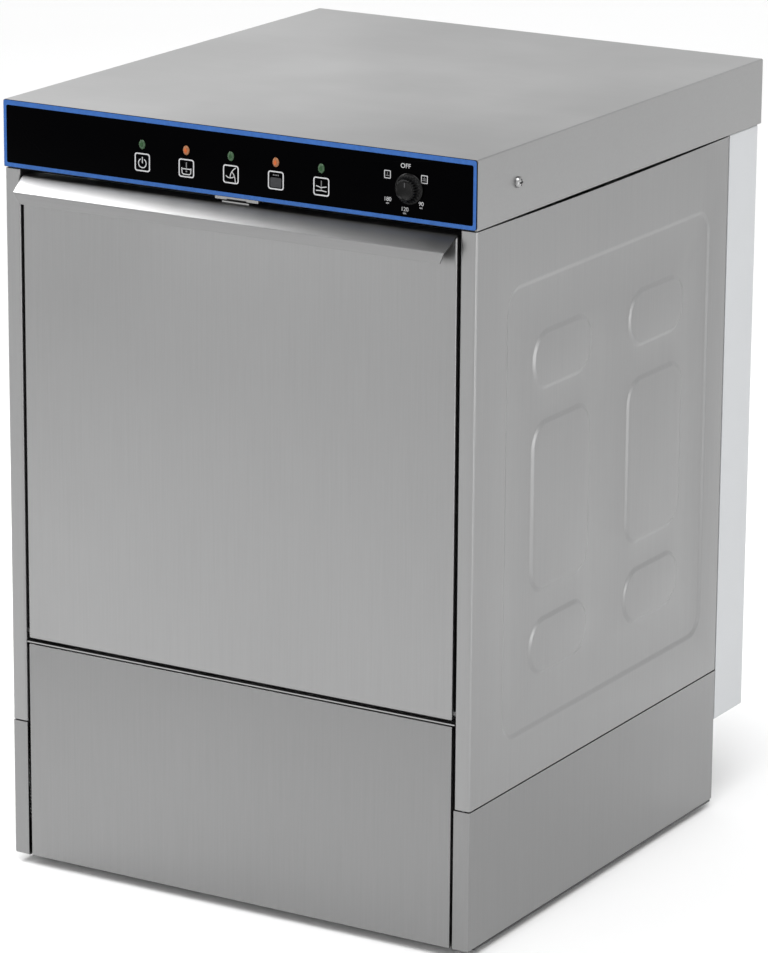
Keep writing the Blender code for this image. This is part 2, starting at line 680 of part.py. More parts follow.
def make_hinges():
    """Each side: a bearing plate on the chassis, the door's shaft and lever, and the closing spring."""
    lever_length, lever_x, spring_x = 0.055, 0.2725, 0.2770
    anchor = (FRONT + 0.025, 0.045)
    moving = []
    for name, sign in (("left", -1), ("right", 1)):
        plate_y = FRONT + 0.003
        outline = [(plate_y, 0.170), (FRONT + 0.015, 0.170), (FRONT + 0.015, 0.036), (FRONT + 0.035, 0.036),
                   (FRONT + 0.035, 0.170), (FRONT + 0.050, 0.170), (FRONT + 0.050, 0.285), (plate_y, 0.285)]
        bracket = prism(outline, "x", 0.2680, 0.2705)
        peg = rod("x", anchor, 0.0020, 0.2690, 0.2800, 8)
        foot = box((0.2690, FRONT + 0.030, 0.1712), (0.2827, FRONT + 0.050, 0.1727))
        bore = rod("x", (HINGE_Y, HINGE_Z), 0.0031, 0.26, 0.28, 16)

        shaft = rod("x", (HINGE_Y, HINGE_Z), 0.0030, 0.2570, 0.2750, 16)
        arm = [(HINGE_Y + 0.006 * math.cos(a), HINGE_Z + 0.006 * math.sin(a))
               for a in (math.pi * k / 6 for k in range(7))]
        tip = HINGE_Z - lever_length
        arm += [(HINGE_Y + 0.005 * math.cos(a), tip + 0.005 * math.sin(a))
                for a in (math.pi * (1 + k / 6) for k in range(7))]
        lever = prism(arm, "x", lever_x, lever_x + 0.003)
        tab = box((0.2552, FRONT + 0.0035, 0.2618), (0.2586, FRONT + 0.033, 0.330))
        eye = rod("x", (HINGE_Y, tip), 0.0022, 0.26, 0.28, 8)

        start = Vector((spring_x, HINGE_Y, tip - 0.0056))
        end = Vector((spring_x, anchor[0], anchor[1] + 0.0026))
        path = [(start, 0.0052, 0.0030), (end, 0.0052, 0.0030)]
        spring = pipe(path, 8)
        shapes = [bracket, peg, foot, bore, lever, shaft, tab, eye, spring]
        if sign < 0:
            shapes = [mirrored(shape) for shape in shapes]
        bracket, peg, foot, bore, lever, shaft, tab, eye, spring = shapes
        holder = piece(f"hinge_bracket_{name}", bracket, "dull_steel")
        join(holder, peg, foot)
        cut(holder, bore)
        swing = piece(f"door_hinge_{name}", lever, "dull_steel")
        join(swing, shaft, tab)
        cut(swing, eye)
        piece(f"door_spring_{name}", spring, "dull_steel")
        moving.append(swing)
    return moving


# ---------------------------------------------------------------- spray arms, pump and plumbing


def spray_arm(name, finish, tip, half_width, low, high, hub_r):
    """A flat bar with tapered, rounded ends and a round hub with a running bore."""
    half = [(0.0, half_width), (tip - 0.05, half_width * 0.72), (tip - 0.012, half_width * 0.60), (tip, 0.004)]
    right = half[1:] + [(x, -y) for x, y in half[:0:-1]]
    outline = [(x, ARM_Y + y) for x, y in [(0.0, half_width)] + right + [(0.0, -half_width)]]
    outline += [(-x, ARM_Y + y) for x, y in right[::-1]]
    arm = piece(name, prism(outline, "z", low + 0.002, high - 0.002), finish)
    join(arm, rod("z", (0, ARM_Y), hub_r, low, high, 16))
    cut(arm, rod("z", (0, ARM_Y), 0.0110, low - 0.01, high + 0.01, 16))
    hang(f"{name}_axis", (0, ARM_Y, low), arm)


def make_arms():
    spray_arm("wash_arm_lower", "brushed_steel", 0.235, 0.018, 0.2860, 0.3020, 0.024)
    spray_arm("rinse_arm_lower", "brushed_steel", 0.222, 0.009, 0.3050, 0.3180, 0.016)
    spray_arm("wash_arm_upper", "brushed_steel", 0.235, 0.018, 0.7150, 0.7310, 0.024)
    spray_arm("rinse_arm_upper", "brushed_steel", 0.222, 0.009, 0.6980, 0.7110, 0.016)
    floor = SUMP_FLOOR + SHEET + GAP
    profile = [(0.0085, 0.1187), (0.0115, 0.1187), (0.0115, floor), (0.0200, floor), (0.0200, floor + 0.003),
               (0.0115, floor + 0.003), (0.0115, 0.2830), (0.0150, 0.2830), (0.0150, 0.2855),
               (0.0105, 0.2855), (0.0105, 0.3185), (0.0135, 0.3185), (0.0135, 0.3230), (0.0085, 0.3230)]
    piece("lower_spindle", turned(profile, "z", (0, ARM_Y), 16), "dull_steel")


def make_pump():
    """Wash pump on the sump's side: volute, rotor on the motor's shaft, motor."""
    axis = (ARM_Y, PUMP_Z)
    volute = piece("pump_volute", rod("x", axis, 0.045, 0.100, 0.146, 20), "black_plastic")
    inlet_x = SUMP_X + SHEET + GAP
    inlet = (ARM_Y, PUMP_Z + 0.012)
    join(volute, rod("x", inlet, 0.0160, inlet_x, 0.104, 16))
    outlet_z = PUMP_Z - 0.030
    join(volute, rod("y", (PUMP_X, outlet_z), 0.0130, ARM_Y, 0.0450, 12))
    join(volute, rod("z", (PUMP_X, ARM_Y), 0.0120, 0.1045, 0.1250, 12))
    cut(volute, rod("x", axis, 0.0370, 0.106, 0.140, 20))
    cut(volute, rod("x", inlet, 0.0125, inlet_x - 0.01, 0.110, 12))
    cut(volute, rod("y", (PUMP_X, outlet_z), 0.0100, ARM_Y, 0.0550, 12))
    cut(volute, rod("z", (PUMP_X, ARM_Y), 0.0090, 0.0945, 0.1250, 12))
    cut(volute, rod("x", axis, 0.0055, 0.135, 0.160, 12))
    motor = piece("pump_motor", rod("x", axis, 0.044, 0.1490, 0.2440, 20), "motor_paint")
    cut(motor, rod("x", axis, 0.0055, 0.140, 0.232, 12))
    profile = [(0, 0.1120), (0.0100, 0.1120), (0.0300, 0.1260), (0.0320, 0.1300), (0.0050, 0.1300),
               (0.0050, 0.2300), (0, 0.2300)]
    rotor = piece("pump_rotor", turned(profile, "x", axis, 16), "dull_steel")
    hang("pump_axis", (PUMP_X, *axis), rotor)


def make_pipes():
    """Supply to the upper arms through the rear cover, and to the lower spindle under the tank."""
    head_z, bore = 0.805, 0.0095
    corners = [(PUMP_X, 0.0453, PUMP_Z - 0.030), (PUMP_X, RISER_Y, PUMP_Z - 0.030),
               (PUMP_X, RISER_Y, head_z), (0, RISER_Y, head_z), (0, ARM_Y, head_z), (0, ARM_Y, 0.7345)]
    path = [(point, 0.0120, bore) for point in route(corners, 0.030, 3)]
    tail = [(0.7345, 0.0150), (0.7320, 0.0150), (0.7320, 0.0105), (0.6975, 0.0105), (0.6975, 0.0140),
            (0.6920, 0.0140)]
    path += [((0, ARM_Y, z), radius, 0.0085) for z, radius in tail]
    piece("riser_pipe", pipe(path, 10), "dull_steel")
    corners = [(PUMP_X, ARM_Y, 0.1042), (PUMP_X, ARM_Y, 0.0780), (0, ARM_Y, 0.0780), (0, ARM_Y, 0.1184)]
    path = [(point, 0.0120, 0.0085) for point in route(corners, 0.022, 3)]
    piece("lower_feed_pipe", pipe(path, 10), "rubber")


def make_rinse_system():
    """Booster boiler lying on the base, its hose to the rinse arms, inlet valve, drain and cable gland."""
    centre, z, radius = -0.175, 0.080, 0.055
    front, back = -0.180, 0.120
    boiler = piece("rinse_boiler", rod("y", (centre, z), radius, front, back, 20), "dull_steel")
    port = (RINSE_X, RINSE_Z)
    port_end = back + 0.018
    join(boiler, rod("y", port, 0.0070, back - 0.01, port_end, 10))
    cut(boiler, rod("y", (centre, z), radius - 0.002, front + 0.002, back - 0.002, 20))
    cut(boiler, rod("y", port, 0.0045, back - 0.02, port_end + 0.01, 10))
    inlet_x, inlet_y, head_z = -0.030, 0.030, 0.820
    corners = [(RINSE_X, port_end + GAP, RINSE_Z), (RINSE_X, RISER_Y, RINSE_Z), (RINSE_X, RISER_Y, head_z),
               (inlet_x, RISER_Y, head_z), (inlet_x, inlet_y, head_z), (inlet_x, inlet_y, CHAMBER_TOP + 0.002)]
    path = [(point, 0.0070, 0.0045) for point in route(corners, 0.022, 2)]
    piece("rinse_hose", pipe(path, 8), "rubber")
    valve_x, gland_x, fitting_z = 0.170, 0.225, 0.062
    valve = piece("inlet_valve", rod("y", (valve_x, fitting_z), 0.0122, 0.200, 0.285, 12), "grey_plastic")
    join(valve, box((valve_x - 0.016, 0.205, fitting_z - 0.014), (valve_x + 0.016, 0.242, fitting_z + 0.030)))
    cut(valve, rod("y", (valve_x, fitting_z), 0.0070, 0.255, 0.300, 12))
    corners = [(0, OVERFLOW_Y, SUMP_FLOOR - GAP), (0, OVERFLOW_Y, 0.055), (0, 0.300, 0.055)]
    path = [(point, 0.0160, 0.0125) for point in route(corners, 0.030, 3)]
    piece("drain_elbow", pipe(path, 12), "black_plastic")
    profile = [(0.0050, 0.235), (0.0085, 0.235), (0.0085, BODY_REAR + GAP), (0.0130, BODY_REAR + GAP),
               (0.0130, 0.258), (0.0105, 0.262), (0.0090, 0.272), (0.0050, 0.272)]
    piece("cable_gland", turned(profile, "y", (gland_x, fitting_z), 12), "black_plastic")


make_top_cover()
make_control_panel()
make_lamps()
make_knob()
make_relay_box()
make_side_panels()
make_base()
make_lower_front()
make_rear()
make_chamber()
make_tank()
make_trays()
make_strainer_and_overflow()
make_tank_heater()
make_door()
make_arms()
make_pump()
make_pipes()
make_rinse_system()

for obj in bpy.data.objects:
    if obj.type == "MESH":
        obj.data.shade_smooth()
        obj.data.set_sharp_from_angle(angle=math.radians(35))
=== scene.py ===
import math

import bmesh
import bpy
from mathutils import Matrix, Vector


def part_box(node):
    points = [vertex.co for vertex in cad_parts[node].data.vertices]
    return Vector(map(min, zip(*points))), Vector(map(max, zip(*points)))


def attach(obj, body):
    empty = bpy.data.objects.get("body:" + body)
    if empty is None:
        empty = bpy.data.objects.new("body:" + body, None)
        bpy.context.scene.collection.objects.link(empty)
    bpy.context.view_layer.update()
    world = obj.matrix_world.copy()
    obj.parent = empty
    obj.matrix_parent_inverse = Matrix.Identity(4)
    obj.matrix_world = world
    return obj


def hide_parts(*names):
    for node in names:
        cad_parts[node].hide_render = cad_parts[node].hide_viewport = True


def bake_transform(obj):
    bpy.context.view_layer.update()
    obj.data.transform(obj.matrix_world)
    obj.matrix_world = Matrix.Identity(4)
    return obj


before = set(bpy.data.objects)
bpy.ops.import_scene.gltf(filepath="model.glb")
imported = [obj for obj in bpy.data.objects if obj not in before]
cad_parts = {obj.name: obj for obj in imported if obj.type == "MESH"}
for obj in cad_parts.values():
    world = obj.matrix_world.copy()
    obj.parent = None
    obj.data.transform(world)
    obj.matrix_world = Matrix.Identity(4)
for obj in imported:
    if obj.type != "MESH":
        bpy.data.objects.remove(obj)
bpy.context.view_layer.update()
scene = bpy.context.scene

# ================================================================ camera
# A long lens stands off the machine's front right corner, a little above it, held almost level.
# It has no depth of field and no shift.

AIM = Vector((0.0018, -0.0039, 0.4066))
AZIMUTH, ELEVATION, ROLL = (math.radians(angle) for angle in (30.6315, 15.8815, 0.4198))
DISTANCE = 5.1958

back = Vector((math.sin(AZIMUTH) * math.cos(ELEVATION), -math.cos(AZIMUTH) * math.cos(ELEVATION),
               math.sin(ELEVATION)))
level = Vector((math.cos(AZIMUTH), math.sin(AZIMUTH), 0))
upright = back.cross(level)
right = level * math.cos(ROLL) + upright * math.sin(ROLL)
lens = bpy.data.cameras.new("camera")
lens.lens = 179.9
lens.sensor_width = 36
lens.clip_end = 60
camera = bpy.data.objects.new("camera", lens)
camera.matrix_world = Matrix.Translation(AIM + back * DISTANCE) @ Matrix(
    (right, back.cross(right), back)).transposed().to_4x4()
scene.collection.objects.link(camera)
scene.camera = camera
scene.view_settings.view_transform = "Standard"

# ================================================================ studio
# A pale floor under a room that is bright low down and dimmer overhead. A wide, high lamp keeps the
# floor white; the soft panels give the folded handle, the lid and the corners their highlights.


def principled(name, colour, roughness, metallic=0.0, **constants):
    """A material with one Principled shader. Returns the material, its node tree and the shader."""
    material = bpy.data.materials.new(name)
    material.use_nodes = True
    tree = material.node_tree
    shader = tree.nodes["Principled BSDF"]
    shader.inputs["Base Color"].default_value = (*colour, 1)
    shader.inputs["Roughness"].default_value = roughness
    shader.inputs["Metallic"].default_value = metallic
    for socket, value in constants.items():
        shader.inputs[socket.replace("_", " ")].default_value = value
    return material, tree, shader


FLOOR_HALF = 14.0
floor_mesh = bpy.data.meshes.new("floor")
floor_mesh.from_pydata([(x * FLOOR_HALF, y * FLOOR_HALF, 0) for x, y in ((-1, -1), (1, -1), (1, 1), (-1, 1))],
                       [], [(0, 1, 2, 3)])
floor = bpy.data.objects.new("floor", floor_mesh)
scene.collection.objects.link(floor)
floor_mesh.materials.append(principled("pale_floor", (0.90, 0.90, 0.90), 0.9)[0])

world = bpy.data.worlds.new("studio")
world.use_nodes = True
direction = world.node_tree.nodes.new("ShaderNodeTexCoord")
parts = world.node_tree.nodes.new("ShaderNodeSeparateXYZ")
rise = world.node_tree.nodes.new("ShaderNodeMapRange")
rise.inputs["From Min"].default_value = 0.32
rise.inputs["From Max"].default_value = 0.80
rise.inputs["To Min"].default_value = 1.0
rise.inputs["To Max"].default_value = 0.28
world.node_tree.links.new(direction.outputs["Generated"], parts.inputs["Vector"])
world.node_tree.links.new(parts.outputs["Z"], rise.inputs["Value"])
world.node_tree.links.new(rise.outputs["Result"], world.node_tree.nodes["Background"].inputs["Strength"])
world.node_tree.nodes["Background"].inputs["Color"].default_value = (1.0, 1.0, 1.0, 1)
scene.world = world


def softbox(name, place, target, width, height, power):
    """A large rectangular light that faces target."""
    light = bpy.data.lights.new(name, "AREA")
    light.shape = "RECTANGLE"
    light.size, light.size_y = width, height
    light.energy = power
    lamp = bpy.data.objects.new(name, light)
    lamp.location = place
    lamp.rotation_euler = (Vector(target) - Vector(place)).to_track_quat("-Z", "Y").to_euler()
    lamp.visible_camera = False
    scene.collection.objects.link(lamp)


softbox("panel_upper_left", (-1.26, -0.20, 1.90), (-0.45, -0.28, 0.75), 0.7, 0.8, 22)
softbox("panel_rear_left", (-3.25, 2.73, 1.90), (-0.10, 0.10, 0.84), 3.0, 2.4, 3.5)
softbox("panel_above_right", (1.50, -0.30, 2.00), (0.90, 0.10, 0.0), 1.2, 1.2, 3)
softbox("panel_front_left", (-1.60, -3.00, 1.30), (0.0, -0.30, 0.60), 1.8, 0.5, 8)
softbox("panel_right", (1.75, 0.30, 0.50), (0.28, 0.00, 0.45), 0.45, 0.8, 2.0)
softbox("strip_right", (1.55, -1.05, 0.42), (0.28, -0.30, 0.42), 0.4, 0.9, 3)
softbox("strip_left", (-1.80, 0.80, 0.42), (-0.28, -0.30, 0.42), 0.5, 0.8, 5)
high_lamp = bpy.data.lights.new("high_lamp", "SUN")
high_lamp.energy = 2.0
high_lamp.angle = math.radians(40)
lamp = bpy.data.objects.new("high_lamp", high_lamp)
lamp.rotation_euler = Vector((0.25, -0.35, 0.90)).to_track_quat("Z", "Y").to_euler()
scene.collection.objects.link(lamp)

# ================================================================ lid
# The stainless lid is one folded sheet: flat top, side and rear skirts with tight bends, a pan-head
# screw in each side skirt.


def sheet_grain():
    """Shader group: fine brushing along one axis, with broad faint clouding of the surface."""
    group = bpy.data.node_groups.new("sheet_grain", "ShaderNodeTree")
    group.interface.new_socket("Stretch", in_out="INPUT", socket_type="NodeSocketVector")
    group.interface.new_socket("Cloud Size", in_out="INPUT", socket_type="NodeSocketFloat")
    for name in ("Streak", "Cloud", "Height"):
        group.interface.new_socket(name, in_out="OUTPUT", socket_type="NodeSocketFloat")
    nodes, links = group.nodes, group.links
    given = nodes.new("NodeGroupInput")
    result = nodes.new("NodeGroupOutput")
    coords = nodes.new("ShaderNodeTexCoord")
    stretch = nodes.new("ShaderNodeMapping")
    links.new(coords.outputs["Object"], stretch.inputs["Vector"])
    links.new(given.outputs["Stretch"], stretch.inputs["Scale"])
    streak = nodes.new("ShaderNodeTexNoise")
    streak.inputs["Scale"].default_value = 1.0
    streak.inputs["Detail"].default_value = 4.0
    streak.inputs["Roughness"].default_value = 0.65
    links.new(stretch.outputs["Vector"], streak.inputs["Vector"])
    speck = nodes.new("ShaderNodeTexNoise")
    speck.inputs["Scale"].default_value = 2600.0
    speck.inputs["Detail"].default_value = 2.0
    links.new(coords.outputs["Object"], speck.inputs["Vector"])
    cloud = nodes.new("ShaderNodeTexNoise")
    cloud.inputs["Detail"].default_value = 3.0
    links.new(coords.outputs["Object"], cloud.inputs["Vector"])
    links.new(given.outputs["Cloud Size"], cloud.inputs["Scale"])
    both = nodes.new("ShaderNodeMath")
    both.operation = "MULTIPLY_ADD"
    both.inputs[1].default_value = 0.35
    links.new(speck.outputs["Fac"], both.inputs[0])
    links.new(streak.outputs["Fac"], both.inputs[2])
    links.new(streak.outputs["Fac"], result.inputs["Streak"])
    links.new(cloud.outputs["Fac"], result.inputs["Cloud"])
    links.new(both.outputs["Value"], result.inputs["Height"])
    return group


SHEET_GRAIN = sheet_grain()


def ranged(tree, source, low, high, start=0.3, end=0.7):
    """The output of a Map Range node that spreads source over low to high."""
    node = tree.nodes.new("ShaderNodeMapRange")
    node.inputs["From Min"].default_value = start
    node.inputs["From Max"].default_value = end
    node.inputs["To Min"].default_value = low
    node.inputs["To Max"].default_value = high
    tree.links.new(source, node.inputs["Value"])
    return node.outputs["Result"]


def blended(tree, factor, dark, light):
    """The output of a Mix node between two colours."""
    node = tree.nodes.new("ShaderNodeMix")
    node.data_type = "RGBA"
    node.inputs[6].default_value = (*dark, 1)
    node.inputs[7].default_value = (*light, 1)
    tree.links.new(factor, node.inputs[0])
    return node.outputs[2]


def relief(tree, shader, height, distance, strength=1.0):
    """A Bump node from height to the shader's normal."""
    bump = tree.nodes.new("ShaderNodeBump")
    bump.inputs["Distance"].default_value = distance
    bump.inputs["Strength"].default_value = strength
    tree.links.new(height, bump.inputs["Height"])
    tree.links.new(bump.outputs["Normal"], shader.inputs["Normal"])


def brushed_steel(name, along, tone=0.295, roughness=0.335):
    """Satin stainless sheet, brushed along one axis."""
    light = (tone, tone * 1.001, tone * 1.003)
    material, tree, shader = principled(name, light, roughness, 1.0)
    grain = tree.nodes.new("ShaderNodeGroup")
    grain.node_tree = SHEET_GRAIN
    grain.inputs["Stretch"].default_value = [9 if axis == along else 430 for axis in "xyz"]
    grain.inputs["Cloud Size"].default_value = 5.0
    dark = [channel * 0.975 for channel in light]
    bright = [channel * 1.025 for channel in light]
    tree.links.new(blended(tree, ranged(tree, grain.outputs["Streak"], 0, 1), dark, bright),
                   shader.inputs["Base Color"])
    tree.links.new(ranged(tree, grain.outputs["Cloud"], roughness - 0.035, roughness + 0.045),
                   shader.inputs["Roughness"])
    relief(tree, shader, grain.outputs["Height"], 0.000008, 0.5)
    return material


STEEL_UPRIGHT = brushed_steel("steel_brushed_upright", "z")
STEEL_ACROSS = brushed_steel("steel_across", "x", 0.325)
# Painted shade: the lower sheets get a darker tone than the upper ones, for the shade they show low down by
# the floor.
STEEL_LOWER_SHADED = brushed_steel("steel_lower_sheets", "z", 0.252, 0.345)
STEEL_DULL = brushed_steel("steel_mill_finish", "z", 0.34, 0.42)
STEEL_SCREW = brushed_steel("steel_screw", "x", 0.36, 0.33)


def bevelled_pan(low, high, open_sides, radius, segments=4):
    """The faces of a box without its open sides, with round bends where the rest meet."""
    shape = bmesh.new()
    bmesh.ops.create_cube(shape, size=1.0)
    for vert in shape.verts:
        vert.co = Vector(a + (c + 0.5) * (b - a) for c, a, b in zip(vert.co, low, high))
    doomed = []
    for side in open_sides:
        axis, sign = "xyz".index(side[1]), 1 if side[0] == "+" else -1
        doomed += [face for face in shape.faces if face.normal[axis] * sign > 0.9]
    bmesh.ops.delete(shape, geom=doomed, context="FACES")
    bends = [edge for edge in shape.edges if len(edge.link_faces) == 2]
    bmesh.ops.bevel(shape, geom=bends, offset=radius, segments=segments, profile=0.5, affect="EDGES")
    return shape


def evaluated_mesh(obj):
    """A plain mesh of an object as its modifiers leave it."""
    return bpy.data.meshes.new_from_object(obj.evaluated_get(bpy.context.evaluated_depsgraph_get()))


def drilled(obj, cutters):
    """Cut shapes out of an object. Returns the cutters' objects, removed once its mesh is plain."""
    guides = []
    for i, cutter in enumerate(cutters):
        guide_mesh = bpy.data.meshes.new(f"guide_{i}")
        cutter.to_mesh(guide_mesh)
        cutter.free()
        guide = bpy.data.objects.new(guide_mesh.name, guide_mesh)
        scene.collection.objects.link(guide)
        guides.append(guide)
        hole = obj.modifiers.new("hole", "BOOLEAN")
        hole.operation = "DIFFERENCE"
        hole.object = guide
    return guides


def finished(name, shape, material, body, slot, *nodes, wall=0.0, cutters=(), crease=32):
    """Make a piece of a shape: give a sheet its thickness, cut its holes, shade it, hang it on its body."""
    mesh = bpy.data.meshes.new(name)
    shape.to_mesh(mesh)
    shape.free()
    obj = bpy.data.objects.new(name, mesh)
    scene.collection.objects.link(obj)
    if wall:
        thickness = obj.modifiers.new("wall", "SOLIDIFY")
        thickness.thickness = abs(wall)
        thickness.offset = -1 if wall > 0 else 1
        thickness.use_even_offset = True
    guides = drilled(obj, cutters)
    if obj.modifiers:
        plain = evaluated_mesh(obj)
        obj.modifiers.clear()
        obj.data = plain
        plain.name = name
    for guide in guides:
        bpy.data.objects.remove(guide)
    obj.data.materials.clear()
    obj.data.materials.append(material)
    obj.data.shade_smooth()
    obj.data.set_sharp_from_angle(angle=math.radians(crease))
    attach(obj, body)
    if nodes:
        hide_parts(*nodes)
    return obj


def at(axis, along, first, second):
    """A point from its position along an axis and its two other coordinates, in x, y, z order."""
    coords = [first, second]
    coords.insert("xyz".index(axis), along)
    return Vector(coords)


def turned(profile, axis, centre, sides=48):
    """A (radius, position) profile turned about an axis. It closes on itself unless it starts on the axis."""
    shape = bmesh.new()
    rings = []
    for radius, along in profile:
        ring = []
        for i in range(sides if radius > 0 else 1):
            angle = 2 * math.pi * i / sides
            ring.append(shape.verts.new(at(axis, along, centre[0] + radius * math.cos(angle),
                                           centre[1] + radius * math.sin(angle))))
        rings.append(ring)
    pairs = list(zip(rings, rings[1:])) + ([(rings[-1], rings[0])] if profile[0][0] > 0 else [])
    for lower, upper in pairs:
        for i in range(sides):
            j = (i + 1) % sides
            corners = [lower[i % len(lower)], lower[j % len(lower)],
                       upper[j % len(upper)], upper[i % len(upper)]]
            shape.faces.new(list(dict.fromkeys(corners)))
    bmesh.ops.recalc_face_normals(shape, faces=shape.faces)
    return shape


def softened(profile, radius, steps=3):
    """A profile with its inner corners rounded off by about radius."""
    points = [Vector(p) for p in profile]
    result = [points[0]]
    for before, corner, after in zip(points, points[1:], points[2:]):
        reach = min(radius, (before - corner).length * 0.45, (after - corner).length * 0.45)
        start = corner + (before - corner).normalized() * reach
        end = corner + (after - corner).normalized() * reach
        for k in range(steps + 1):
            t = k / steps
            result.append(start * (1 - t) ** 2 + corner * 2 * t * (1 - t) + end * t * t)
    result.append(points[-1])
    return [tuple(p) for p in result]


def box_shape(low, high):
    """A plain closed box, for cutting."""
    shape = bmesh.new()
    bmesh.ops.create_cube(shape, size=1.0)
    for vert in shape.verts:
        vert.co = Vector(a + (c + 0.5) * (b - a) for c, a, b in zip(vert.co, low, high))
    return shape


SHEET = 0.0012
BEND = 0.0018
lid_low, lid_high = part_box("top_cover")
finished("lid", bevelled_pan(lid_low, lid_high, ("-y", "-z"), BEND), STEEL_ACROSS, "chassis",
         "brushed_steel", "top_cover", wall=SHEET)


def pan_head_screw(axis, centre, face, facing, head_r, height, length=0.010):
    """A round-headed screw with a cross recess. Its head rests on face and points to facing, +1 or -1."""
    profile = [(0, height), (head_r * 0.40, height * 0.97), (head_r * 0.68, height * 0.84),
               (head_r * 0.88, height * 0.60), (head_r * 0.98, height * 0.30), (head_r, 0.0),
               (head_r * 0.40, 0.0), (head_r * 0.40, -length), (0, -length)]
    shape = turned([(r, face + facing * z) for r, z in profile], axis, centre, 32)
    recesses = []
    for across, other in ((head_r * 0.15, head_r * 0.62), (head_r * 0.62, head_r * 0.15)):
        ends = sorted((face + facing * height * 0.35, face + facing * (height + 0.001)))
        low = at(axis, ends[0], centre[0] - across, centre[1] - other)
        high = at(axis, ends[1], centre[0] + across, centre[1] + other)
        recesses.append(box_shape(low, high))
    return shape, recesses


for side, facing in (("left", -1), ("right", 1)):
    low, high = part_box(f"cover_screw_{side}")
    centre = ((low.y + high.y) / 2, (low.z + high.z) / 2)
    reach = max(abs(low.x), high.x)
    shape, recesses = pan_head_screw("x", centre, facing * (lid_high.x + 0.0002), facing,
                                     (high.z - low.z) / 2, reach - lid_high.x)
    finished(f"lid_screw_{side}", shape, STEEL_SCREW, "chassis", "plain_steel", f"cover_screw_{side}",
             cutters=recesses)

# ================================================================ control strip
# A folded steel plate closes the lid's front. A glossy printed film covers it: black with a blue
# border, five signs and the dial's marks. Each print is a layer of ink a few hundredths thick.

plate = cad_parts["control_panel"]
plate.data.materials.clear()
plate.data.materials.append(STEEL_ACROSS)


def rounded(low, high, radius, steps=8):
    """A rounded rectangle, counter-clockwise from its lower right corner."""
    centres = ((high[0] - radius, low[1] + radius), (high[0] - radius, high[1] - radius),
               (low[0] + radius, high[1] - radius), (low[0] + radius, low[1] + radius))
    points = []
    for corner, (x, y) in enumerate(centres):
        for k in range(steps + 1):
            angle = math.pi / 2 * (corner - 1 + k / steps)
            points.append((x + radius * math.cos(angle), y + radius * math.sin(angle)))
    return points


def loft(shape, loops, closed=True):
    """Quads between each two neighbouring loops of the same length."""
    for lower, upper in zip(loops, loops[1:]):
        for i in range(len(lower) - (0 if closed else 1)):
            j = (i + 1) % len(lower)
            shape.faces.new((lower[i], lower[j], upper[j], upper[i]))


def skinned(shape, loops):
    """Close a shape over a row of loops: quads along it, a face over each end, normals outward."""
    loft(shape, loops)
    shape.faces.new(loops[0])
    shape.faces.new(loops[-1])
    bmesh.ops.recalc_face_normals(shape, faces=shape.faces)


def slab(outline, axis, start, end, edge=0.0):
    """A flat outline pushed along an axis, from start to end, with the end's rim rounded by edge."""
    shape = bmesh.new()
    middle = [sum(c) / len(outline) for c in zip(*outline)]
    direction = 1 if end > start else -1
    levels = [(start, 0.0), (end - direction * edge, 0.0)]
    levels += [(end - direction * edge * (1 - math.sin(a)), edge * (1 - math.cos(a)))
               for a in (math.pi / 2 * k / 3 for k in (1, 2, 3))] if edge else []
    loops = []
    for along, inset in levels:
        loops.append([])
        for u, v in outline:
            reach = Vector((u - middle[0], v - middle[1]))
            spot = reach * (1 - inset / max(reach.length, 1e-6))
            loops[-1].append(shape.verts.new(at(axis, along, middle[0] + spot.x, middle[1] + spot.y)))
    skinned(shape, loops)
    return shape


def cylinder(axis, centre, radius, start, end, sides=32):
    """A round rod along an axis, from start to end."""
    return turned([(0, start), (radius, start), (radius, end), (0, end)], axis, centre, sides)


film_low, film_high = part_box("fascia_overlay")
FILM_FRONT = film_low.y
INK = 0.00006
lamp_names = ("power", "tank_heat", "wash", "rinse", "boiler_heat")
lamp_boxes = [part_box(f"lamp_{name}") for name in lamp_names]
lamp_centres = [((low.x + high.x) / 2, (low.z + high.z) / 2) for low, high in lamp_boxes]
knob_low, knob_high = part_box("program_knob")
KNOB = ((knob_low.x + knob_high.x) / 2, (knob_low.z + knob_high.z) / 2)


def mottle():
    """Shader group: an even cloudy pattern laid out in the piece's own coordinates."""
    group = bpy.data.node_groups.new("mottle", "ShaderNodeTree")
    for name in ("Scale", "Detail"):
        group.interface.new_socket(name, in_out="INPUT", socket_type="NodeSocketFloat")
    group.interface.new_socket("Mask", in_out="OUTPUT", socket_type="NodeSocketFloat")
    nodes, links = group.nodes, group.links
    given, result = nodes.new("NodeGroupInput"), nodes.new("NodeGroupOutput")
    coords, texture = nodes.new("ShaderNodeTexCoord"), nodes.new("ShaderNodeTexNoise")
    links.new(coords.outputs["Object"], texture.inputs["Vector"])
    for name in ("Scale", "Detail"):
        links.new(given.outputs[name], texture.inputs[name])
    links.new(texture.outputs["Fac"], result.inputs["Mask"])
    return group


MOTTLE = mottle()


def mottled(tree, scale, detail=2.0):
    """The mask of a mottle group placed in a material, with its own scale and detail."""
    node = tree.nodes.new("ShaderNodeGroup")
    node.node_tree = MOTTLE
    node.inputs["Scale"].default_value = scale
    node.inputs["Detail"].default_value = detail
    return node.outputs["Mask"]


film_black, tree, shader = principled("fascia_black_film", (0.0004, 0.0004, 0.0006), 0.2,
                                      Specular_IOR_Level=0.01)
smear = mottled(tree, 38, 5)
tree.links.new(ranged(tree, smear, 0.12, 0.22), shader.inputs["Roughness"])
relief(tree, shader, smear, 0.00003, 0.3)


def printed_ink(name, colour, roughness=0.35):
    """Screen-printed ink with a faint mottle."""
    material, tree, shader = principled(name, colour, roughness, Specular_IOR_Level=0.15)
    dark = [c * 0.88 for c in colour]
    light = [min(c * 1.06, 1) for c in colour]
    tree.links.new(blended(tree, ranged(tree, mottled(tree, 260), 0, 1), dark, light),
                   shader.inputs["Base Color"])
    return material


